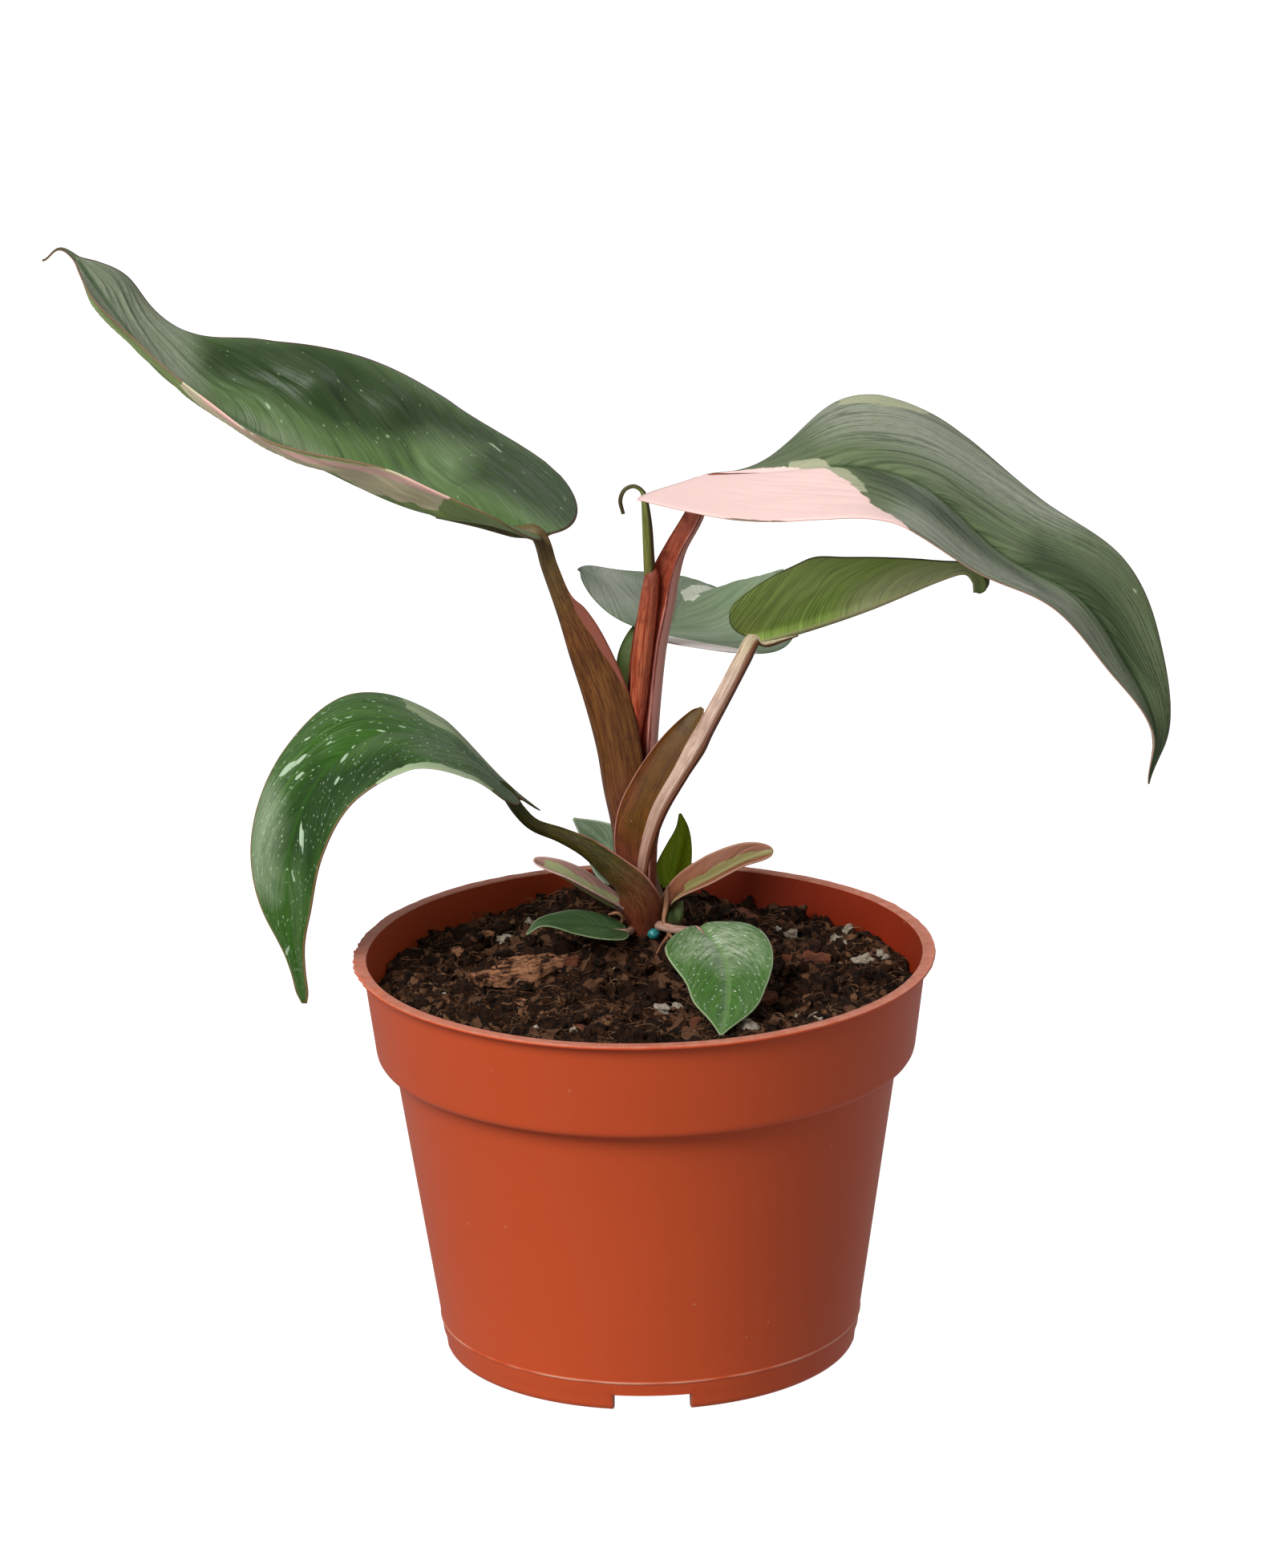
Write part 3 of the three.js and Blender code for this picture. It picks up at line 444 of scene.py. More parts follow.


# ---------------------------------------------------------------- leaf blades

# Each midrib point is a place in space; half, fold, curl and lobe list the left side, then the right
# (left and right as seen from the stalk, looking towards the tip); angles are in degrees. Patches and
# seconds are outlines of variegation as (across, along); hazes_and_sheens are outlines of wax bloom and
# of painted sheen, and shades those of darker tissue and of painted shade. A swell is (side, along,
# spread, width), a bulge (side, along, width, length, height), and a fleck (across, along, length, width).
# Roll is how far the blade is turned about its midrib, from base to tip, pucker the height and spacing of
# its ripples and the height of its swelling, sweep how far its side veins run on towards the tip, and tail
# the share of the midrib that is no more than a thin tip.
LARGE_LEAVES = {
    "left": dict(
        slot="deep_green_leaf",
        midrib=[(-18.2, 25, 149.5), (-26.4, 27, 151.9), (-42.4, 29, 155.1), (-59.8, 31, 163),
                (-75.5, 33, 171.5), (-88.8, 34, 181), (-103.5, 35, 201.8), (-109.2, 35, 201)],
        tail=0.07, half=(23.4, 27.5), round=(0.09, 0.075), lobe=(0.027, 0.062),
        swell=[(-1, 0.86, 0.06, 2.6), (1, 0.86, 0.06, 3)],
        fold=((3.6, 14.2, 2.4, 19.3, -17.2), (13.2, 29.5, 36.3, 13.8, 27.9)),
        curl=((23.7, 36.8, 14), (3.3, -1, -0.9)), roll=(1.2, 6.6, 20.7), pucker=(0.2, 8, 1.8),
        bulges=[(0.61, 0.457, 3.6, 5, 2), (0.66, 0.33, 3.6, 5.5, 1.8), (0.4, 0.12, 6, 5, 0.9),
                (0.5, 0.6, 5, 5, -1), (0.35, 0.25, 5, 6, -0.9)],
        patches=[[(-1.2, 0.13), (-0.96, 0.15), (-0.88, 0.25), (-0.84, 0.33), (-0.87, 0.44), (-0.93, 0.6),
                  (-1.2, 0.66)]],
        seconds=[[(-1.2, 0.15), (-0.55, 0.17), (-0.3, 0.3), (-0.4, 0.5), (-0.8, 0.66), (-1.2, 0.66)]],
        flecks=[(0.25, 0.512, 1.9, 0.5), (0.43, 0.453, 1.5, 0.5), (0.3, 0.413, 1.3, 0.5),
                (0.41, 0.378, 1, 0.6), (0.45, 0.307, 1.4, 0.6), (0.64, 0.245, 1.4, 1.1),
                (0.83, 0.138, 1.9, 0.6), (0.8, 0.125, 1.2, 0.5), (0.7, 0.427, 1.6, 0.5),
                (0.75, 0.56, 1.4, 0.5), (0.5, 0.5, 0.9, 0.5), (0.2, 0.93, 1.4, 0.6)],
        hazes_and_sheens=[[(-1.2, 0.7), (-1.2, 1.1), (1.2, 1.1), (1.2, 0.72), (0.3, 0.64), (-0.2, 0.6)],
               [(-1.1, 0.2), (-1.1, 0.72), (-0.3, 0.66), (0.05, 0.5), (0.0, 0.35), (-0.3, 0.25)]],
        shades=[[(0.45, 0.64), (0.95, 0.68), (1.1, 0.5), (1.1, 0.12), (0.8, 0.1), (0.65, 0.24), (0.4, 0.3),
                 (0.3, 0.4), (0.35, 0.5)],
                [(0.2, -0.1), (1.2, -0.1), (1.0, 0.16), (0.3, 0.16)]],
    ),
    "right": dict(
        slot="grey_green_leaf",
        midrib=[(12, 19, 162.2), (23.6, 16, 163.3), (40, 12, 165), (53, 9, 161.5), (67, 5, 149.5),
                (81, 1, 142), (89, -3, 131), (93.8, -7, 120), (92.5, -11, 110.1)],
        half=(22.6, 25.8), round=(0.08, 0), lobe=(0, 0.078), lobe_power=1.7, sweep=0.8,
        fold=((-21.7, 18.8, 9, 24.2, 32, 14.4), (-3, -6.4, 8, 13, 6, 22.8)),
        curl=((-4, -7, -10.2), (2.4, 0.4, 2.1)), roll=(-3.7, -5, -7), pucker=(0.08, 6, 0.5),
        patches=[[(-0.1, -0.1), (-0.08, 0.125), (0.05, 0.2), (0.24, 0.245), (0.51, 0.283), (0.7, 0.31),
                  (0.83, 0.34), (0.98, 0.39), (1.3, 0.43), (1.3, -0.1)]],
        seconds=[[(-0.14, 0.14), (-0.08, 0.19), (0.1, 0.245), (0.3, 0.275), (0.5, 0.295), (0.45, 0.25),
                  (0.2, 0.2), (0.0, 0.14)],
                 [(-1.2, 0.19), (-0.88, 0.2), (-0.84, 0.25), (-0.9, 0.315), (-1.2, 0.34)]],
        flecks=[(-0.81, 0.715, 1.8, 0.7)],
        hazes_and_sheens=[[(0.55, 0.36), (1.2, 0.34), (1.2, 0.9), (0.6, 0.85), (0.4, 0.68)],
               [(-1.2, 0.12), (-1.2, 0.62), (-0.8, 0.6), (-0.4, 0.42), (-0.35, 0.2)]],
        shades=[[(0.0, 0.24), (0.2, 0.26), (0.5, 0.37), (0.42, 0.46), (0.42, 0.54), (0.75, 0.62),
                 (0.55, 0.65), (0.22, 0.56), (0.14, 0.46), (0.15, 0.38)],
                [(-0.5, 0.56), (0.05, 0.56), (0.15, 0.8), (-0.4, 0.84)]],
    ),
    "middle": dict(
        slot="mid_green_leaf",
        midrib=[(21.9, 23, 129.4), (31.9, 19, 133), (43, 15, 137.6), (54.8, 12, 143), (59.8, 10.2, 144.8),
                (61.6, 9.4, 143.4), (61.8, 9, 141.3)],
        half=(10, 14.6), round=(0.095, 0.074), lobe=(0.08, 0.081),
        swell=[(-1, 0.97, 0.05, 3), (1, 0.97, 0.05, 3), (-1, 0.42, 0.07, 0.7), (1, 0.42, 0.07, 0.9)],
        fold=((36, 36, 36), (48.1, 55.5, 47.8)), curl=((0, 0, 0), (-1.7, 7.7, -2.8)), roll=(0.3, 5.7),
        pucker=(0.06, 5, 0.35), hazes_and_sheens=[[(0.0, 0.42), (0.3, 0.5), (0.55, 0.7), (0.6, 0.93), (0, 0.95)]],
        shades=[[(-1.2, 0.92), (1.2, 0.92), (1.2, 1.1), (-1.2, 1.1)]],
    ),
    "back": dict(
        slot="pale_green_leaf",
        midrib=[(1.6, 39, 127), (6.6, 53, 124), (9.2, 69, 124.5), (16.9, 87, 120.6), (20.7, 107, 114.1)],
        half=(21, 22.9), round=(0.163, 0.099), lobe=(0.138, 0.208),
        fold=((8.6, 11.6, -0.3, 5.1, 6.2), (7.2, 12.7, 34, 28, 12)),
        curl=((4, -1.4, 0.1), (-1.6, -3.3, -0.1)), roll=(-17.8, -14, -10.4), pucker=(0.1, 7, 0.5),
        patches=[[(0.3, 0.03), (0.4, 0.05), (0.65, 0.08), (0.8, 0.11), (0.93, 0.13), (1.2, 0.14),
                  (1.2, -0.2), (0.3, -0.2)]],
        seconds=[[(-0.34, 0.72), (-0.34, 0.62), (-0.12, 0.47), (0.1, 0.38), (0.15, 0.42), (-0.05, 0.56),
                  (-0.2, 0.72)]],
        hazes_and_sheens=[[(-1.2, -0.2), (-0.5, -0.1), (-0.35, 0.2), (-0.5, 0.42), (-1.2, 0.5)]],
    ),
    "low": dict(
        slot="deep_green_leaf",
        midrib=[(-24.9, 11, 104.6), (-35.7, 9, 114), (-48.1, 6, 117.2), (-58.7, 2, 110.5),
                (-64.5, -2, 99.6), (-65.5, -5, 86.7), (-63, -7, 69.3)],
        half=(18.3, 16.5), round=(0.083, 0.03), lobe=(0.04, 0.14),
        fold=((-7, -3.7, 4.1, 2.9, -0.7), (6, 11, 6.7, 15.4, 20)),
        curl=((-8, -2.8, -6.8), (-2.6, -2.3, 1.4)),
        swell=[(-1, 0.87, 0.07, -1.3), (1, 0.87, 0.07, -1.3), (-1, 0.98, 0.03, 0.6), (1, 0.98, 0.03, 0.6)],
        groove=0.2, roll=(2.1, 3.3, 21.6), pucker=(0.12, 6, 0.7),
        patches=[[(-0.95, 0.1), (-1.2, 0.1), (-1.2, 0.44), (-0.97, 0.42), (-0.9, 0.3), (-0.88, 0.2)]],
        seconds=[[(0.7, 0.25), (0.53, 0.215), (0.4, 0.177), (0.28, 0.13), (0.6, 0.06), (1.2, 0.1),
                  (1.2, 0.25)]],
        flecks=[(0.62, 0.497, 6.5, 2), (0.36, 0.51, 2.6, 1.6), (-0.1, 0.422, 3.4, 1.2),
                (-0.42, 0.476, 3, 1), (-0.3, 0.63, 7.5, 1.6), (-0.24, 0.714, 3.4, 0.8),
                (0.53, 0.88, 2.2, 0.7), (-0.01, 0.393, 1.5, 0.9), (-0.29, 0.395, 1.2, 0.7),
                (0.03, 0.318, 2.6, 0.6), (0.11, 0.273, 1.8, 0.7), (-0.29, 0.323, 1.8, 0.6),
                (0.33, 0.422, 1.6, 0.6), (0.74, 0.443, 1.5, 0.7), (0.5, 0.36, 1.6, 0.6),
                (0.2, 0.36, 1.4, 0.6), (0.62, 0.38, 1.2, 0.5), (-0.5, 0.4, 1.3, 0.5)],
        hazes_and_sheens=[[(0.5, 0.58), (0.9, 0.56), (0.95, 0.74), (0.5, 0.76)],
               [(0.3, 0.62), (0.6, 0.6), (0.6, 0.72), (0.35, 0.72)]],
        shades=[[(-1.1, 0.3), (-0.5, 0.3), (-0.2, 0.45), (0.35, 0.46), (0.3, 0.68), (-0.4, 0.68),
                 (-1.1, 0.75)]],
    ),
}

SMALL_LEAVES = {
    "bud_scale_left": dict(
        slot="rosy_scale",
        midrib=[(0, 13, 77.5), (-5.5, 11, 81.2), (-10, 8, 85), (-14.5, 5, 89), (-20.3, 2, 93.3)],
        blunt=True, half=(3.6, 3.6), fold=((40, 35, 30), (35, 30, 25)), roll=(25, 30),
        seconds=[[(-0.7, 0.28), (0.7, 0.22), (0.75, 0.9), (-0.75, 0.92)]],
    ),
    "bud_scale_right": dict(
        slot="rosy_scale",
        midrib=[(3, 14, 79), (7.5, 11, 84), (13, 9, 87.5), (19, 8, 91), (24.3, 7, 92.8)],
        blunt=True, half=(3.9, 3.9), fold=((30, 30, 25), (30, 30, 25)), roll=(-35, -40),
        seconds=[[(-0.3, 0.3), (-0.4, 0.6), (-0.2, 1.1), (1.2, 1.1), (1.2, 0.2)]],
    ),
    "leaf_small_front": dict(
        slot="pale_green_leaf",
        midrib=[(10.3, 0, 81), (13.8, -8, 78.8), (15.2, -16, 76.2), (14.8, -25, 73.2),
                (13.6, -32.5, 70.6)],
        half=(9.1, 10.1), swell=[(-1, 0.76, 0.13, 1.1), (1, 0.76, 0.13, 1.3)], fold=((5, 4, 0), (5, 4, 0)),
        roll=(0, 0), round=(0.2, 0.17), lobe=(0, 0), pucker=(0.06, 3.2, 0.4),
        hazes_and_sheens=[[(-1, 0.1), (-0.2, 0.02), (0.6, 0.1), (0.7, 0.3), (0.1, 0.45), (-0.7, 0.4)]],
    ),
    "leaf_small_low": dict(
        slot="mid_green_leaf",
        midrib=[(-3.5, 6, 78.3), (-8.7, 4, 80.2), (-13.8, 2, 81.5), (-19, 0, 82), (-21.8, -1, 80)],
        half=(3.6, 3.6), fold=((-25, -30, -25), (10, 15, 10)), roll=(5, 5), pucker=(0.1, 4, 1.2),
    ),
    "leaf_small_back": dict(
        slot="pale_green_leaf",
        midrib=[(-1.5, 25, 81), (-5, 29.5, 85.2), (-8.8, 33, 88.2), (-13.1, 36, 90.8)],
        half=(5.5, 5.5), fold=((10, 10, 10), (10, 10, 10)), roll=(30, 45),
    ),
    "leaf_small_bright": dict(
        slot="lime_leaf",
        midrib=[(4.2, 24, 79), (5.8, 25.5, 83), (7, 27, 87), (7.6, 28.5, 90.5), (7.2, 29, 93.6)],
        half=(3.4, 3), fold=((15, 15, 10), (15, 15, 10)), roll=(10, 10), heading=90,
    ),
}

# What a leaf has where its own entry says nothing.
PLAIN_LEAF = dict(
    tail=0, blunt=False, swell=[], round=(0.06, 0.06), lobe=(0.04, 0.04), curl=((0, 0), (0, 0)),
    heading=None, pucker=(0.05, 3.5, 0.25), lobe_power=0.8, sweep=0.42, groove=0.6, bulges=[], patches=[],
    seconds=[], flecks=[], hazes_and_sheens=[], shades=[],
)

# The blade's own measures in millimetres: half its thickness, how much thinner its hem is and how far in
# that begins to show, how far the groove above and the ridge below reach from the midrib, what is added
# to each half width and the least that it may be, and the half widths below which folds, ripples and ribs
# fade out.
HALF_THICK = 0.26
HEM_THINNER, HEM_REACH = 0.14, 0.6
GROOVE_REACH, RIDGE_REACH = 1.0, 1.1
ADDED_WIDTH, LEAST_HALF_WIDTH = 0.25, 0.2
FULL_FOLD_WIDTH, FULL_RIPPLE_WIDTH, FULL_RIB_WIDTH = 3, 6, 4
FAR_OUTSIDE = -50.0
# How strongly side veins arch, the share of a blade that its base lobes take, the share over which
# ripples rise from the base, and the steps in which a midrib's length is measured.
VEIN_ARC, LOBE_REACH, CALM_BASE, MIDRIB_STEPS = 1.4, 0.3, 0.18, 800


def half_width(leaf, across, along):
    """The blade's half width in millimetres on the side that across is on. Its outline is widest a third
    of the way up, or has a blunt end, and its swells are added."""
    body = np.minimum(1, along / (1 - leaf["tail"]))
    outline = np.sin(np.pi * (0.05 + 0.95 * body) ** 0.6)
    if leaf["blunt"]:
        outline = 0.35 + 0.65 * np.sin(np.pi / 2 * np.minimum(1, body / 0.6))
        outline = outline * np.sqrt(np.clip(1 - (np.clip(body - 0.52, 0, 1) / 0.48) ** 1.5, 0, 1))
    width = np.where(across < 0, *leaf["half"]) * outline + ADDED_WIDTH
    for hand, at, spread, more in leaf["swell"]:
        width = width + np.where(across * hand > 0, more, 0) * np.exp(-(((along - at) / spread) ** 2))
    return np.maximum(width, LEAST_HALF_WIDTH)


def base_edge(leaf, across):
    """Where along the blade its rounded base begins."""
    return np.where(across < 0, *leaf["round"]) * (1 - np.sqrt(1 - np.minimum(1, np.abs(across)) ** 2.4))


def blade_surface(leaf, across, along):
    """The blade's middle surface: across runs from -1 at the left margin to 1 at the right, along from 0
    at the base to 1 at the tip. Each half folds up from the midrib and curls on towards its margin."""
    even = np.linspace(0, 1, MIDRIB_STEPS + 1)
    steps = np.linalg.norm(np.diff(curve(leaf["midrib"], even), axis=0), axis=1)
    gone = np.concatenate([[0], np.cumsum(steps)])
    length = gone[-1]
    place = np.interp(np.clip(along, 0, 1) * length, gone, even)
    rib = curve(leaf["midrib"], place)
    tangent = direction(leaf["midrib"], place)

    heading = np.subtract(leaf["midrib"][-1], leaf["midrib"][0])
    if leaf["heading"] is not None:
        turn = math.radians(leaf["heading"])
        heading = (math.cos(turn), math.sin(turn), 0)
    level = np.cross(heading, (0, 0, 1))
    side = square_to(np.tile(level / np.linalg.norm(level), (len(rib), 1)), tangent)
    up = np.cross(side, tangent)
    roll = np.radians(curve(leaf["roll"], along, "held"))[:, None]
    side, up = side * np.cos(roll) + up * np.sin(roll), up * np.cos(roll) - side * np.sin(roll)

    s = np.abs(across)
    width = half_width(leaf, across, along)
    reach = width * across
    fold, curl = (
        np.where(across < 0, *(curve(half, along, "held") for half in leaf[bend]))
        for bend in ("fold", "curl")
    )
    angle = np.radians(fold + curl * s / 2) * np.minimum(1, width / FULL_FOLD_WIDTH)
    arc = np.sin(np.pi / 2 * np.minimum(s, 1)) ** leaf["lobe_power"]
    lobe = np.where(across < 0, *leaf["lobe"]) * length * arc
    back = lobe * np.maximum(0, 1 - along / LOBE_REACH) ** 2
    out = side * (np.cos(angle) * reach)[:, None] + up * (np.sin(angle) * np.abs(reach))[:, None]
    return rib + out - tangent * back[:, None], length


def blade_normal(leaf, across, along):
    """Which way the blade's upper side faces."""
    nudge = 1e-3
    right, left = (blade_surface(leaf, across + step, along)[0] for step in (nudge, -nudge))
    low, high = np.maximum(0, along - nudge), np.minimum(1, along + nudge)
    onward = blade_surface(leaf, across, high)[0] - blade_surface(leaf, across, low)[0]
    return unit(np.cross(right - left, onward))


def depth_inside(spots, outline):
    """How far each spot lies inside a closed outline, and below zero outside it."""
    start_at = np.asarray(outline, float)
    end_at = np.roll(start_at, -1, axis=0)
    side = end_at - start_at
    gap = spots[:, None] - start_at
    share = np.clip((gap * side).sum(2) / (side * side).sum(1), 0, 1)
    away = np.linalg.norm(gap - share[..., None] * side, axis=2).min(1)
    x, y = spots[:, :1], spots[:, 1:]
    rise = np.where(np.abs(side[:, 1]) < 1e-9, 1e-9, side[:, 1])
    straddles = (start_at[:, 1] > y) != (end_at[:, 1] > y)
    crossings = straddles & (x < side[:, 0] * (y - start_at[:, 1]) / rise + start_at[:, 0])
    return np.where(crossings.sum(1) % 2 == 1, away, -away)


# A fleck is a lopsided blot that leans outwards with the veins: its corners as (across, along) shares of
# its half size, and how far it leans.
BLOT = [(0, 1), (0.9, 0.45), (0.7, -0.5), (0.1, -1), (-0.8, -0.4), (-0.9, 0.5)]
BLOT_LEAN = 0.6


def patch_depth(leaf, outlines, flecks=(), *, flat, length):
    """Depth inside the nearest patch or fleck, in millimetres on the flattened blade."""
    depth = np.full(len(flat), FAR_OUTSIDE)
    for outline in outlines:
        across, along = np.array(outline).T
        corner = np.stack([half_width(leaf, across, np.clip(along, 0, 1)) * across, along * length], 1)
        depth = np.maximum(depth, depth_inside(flat, corner))
    for across, along, long, wide in flecks:
        wide_here = float(half_width(leaf, np.array(across), np.array(along)))
        centre = np.array([wide_here * across, along * length])
        lean = np.array([math.copysign(BLOT_LEAN, across), 1]) / math.hypot(BLOT_LEAN, 1)
        over = np.array([lean[1], -lean[0]])
        corner = [centre + lean * long / 2 * b + over * wide / 2 * a for a, b in BLOT]
        depth = np.maximum(depth, 2 * depth_inside(flat, corner))
    return depth


def puckers(leaf, across, along, length, vein):
    """How far the blade is raised by ripples along its veins, by uneven swelling and by its bulges."""
    ripple, spacing, swelling = leaf["pucker"]
    width = half_width(leaf, across, along)
    lateral = width * across
    distance = along * length
    grown = ramp(along, base_edge(leaf, across), CALM_BASE) ** 1.5
    calm = np.minimum(1, width / FULL_RIPPLE_WIDTH) * grown
    inner = np.sin(np.pi * np.minimum(1, np.abs(across))) * calm
    # The blade swells over a centimetre, and folds over 3 to 5 mm.
    drift = np.array([noise.noise((a / 9, b / 12, 3.7)) for a, b in zip(lateral, distance)])
    fold = np.array([noise.noise((a / 5, b / 3, 8.1)) for a, b in zip(vein, lateral)])
    waves = np.sin(2 * np.pi * (vein / spacing + 0.8 * drift))
    relief = inner * (ripple * waves + swelling * drift + 0.35 * swelling * fold)
    for side, place, wide, long, high in leaf["bulges"]:
        away = (lateral - side * half_width(leaf, np.array(side), np.array(place))) ** 2 / wide**2
        relief += high * np.exp(-away - ((distance - place * length) / long) ** 2)
    return relief


def blade(leaf, columns, rows, rib_depth):
    """A thin closed blade with a grooved midrib above, a raised one below, and puckers between veins."""
    leaf = {**PLAIN_LEAF, **leaf}
    shape = bmesh.new()
    bmesh.ops.create_grid(shape, x_segments=columns, y_segments=rows, size=1)
    grid = corners(shape)
    across = grid[:, 0]
    base = base_edge(leaf, across)
    along = base + (1 - base) * (grid[:, 1] + 1) / 2
    middle, length = blade_surface(leaf, across, along)
    normal = blade_normal(leaf, across, along)

    width = half_width(leaf, across, along)
    lateral = width * across
    distance = along * length
    from_ends = np.minimum(distance - base * length, length - distance)
    margin = np.minimum(width * (1 - np.abs(across)), from_ends)
    vein = length * (along - leaf["sweep"] * np.abs(across) ** VEIN_ARC)
    relief = puckers(leaf, across, along, length, vein)
    half_thick = HALF_THICK - HEM_THINNER * np.exp(-margin / HEM_REACH)
    ribbed = np.minimum(1, width / FULL_RIB_WIDTH)
    groove = leaf["groove"] * np.exp(-((lateral / GROOVE_REACH) ** 2)) * ribbed
    ridge = rib_depth * np.exp(-((lateral / RIDGE_REACH) ** 2)) * (1 - along) ** 0.8 * ribbed

    flat = np.stack([lateral, distance], 1)
    slant = math.hypot(1, 1.2 * leaf["sweep"] * length / max(leaf["half"]))
    depth = partial(patch_depth, leaf, flat=flat, length=length)
    mark(shape, "growth", vein / slant, lateral, distance)
    mark(shape, "tone", depth(leaf["patches"]), depth(leaf["seconds"]), margin)
    mark(shape, "bloom", depth([], leaf["flecks"]), depth(leaf["hazes_and_sheens"]), depth(leaf["shades"]))

    doubled = bmesh.ops.duplicate(shape, geom=shape.verts[:] + shape.edges[:] + shape.faces[:])["geom"]
    under = [item for item in doubled if isinstance(item, bmesh.types.BMFace)]
    bmesh.ops.reverse_faces(shape, faces=under)
    verts = shape.verts[:]
    move_to(verts[: len(grid)], middle + normal * (half_thick + relief - groove)[:, None])
    move_to(verts[len(grid) :], middle + normal * (relief - half_thick - ridge)[:, None])
    hem = bmesh.ops.bridge_loops(shape, edges=open_edges(shape))
    for face in under + hem["faces"]:
        face.material_index = 1
    return shape


# ---------------------------------------------------------------- stalks and sheaths

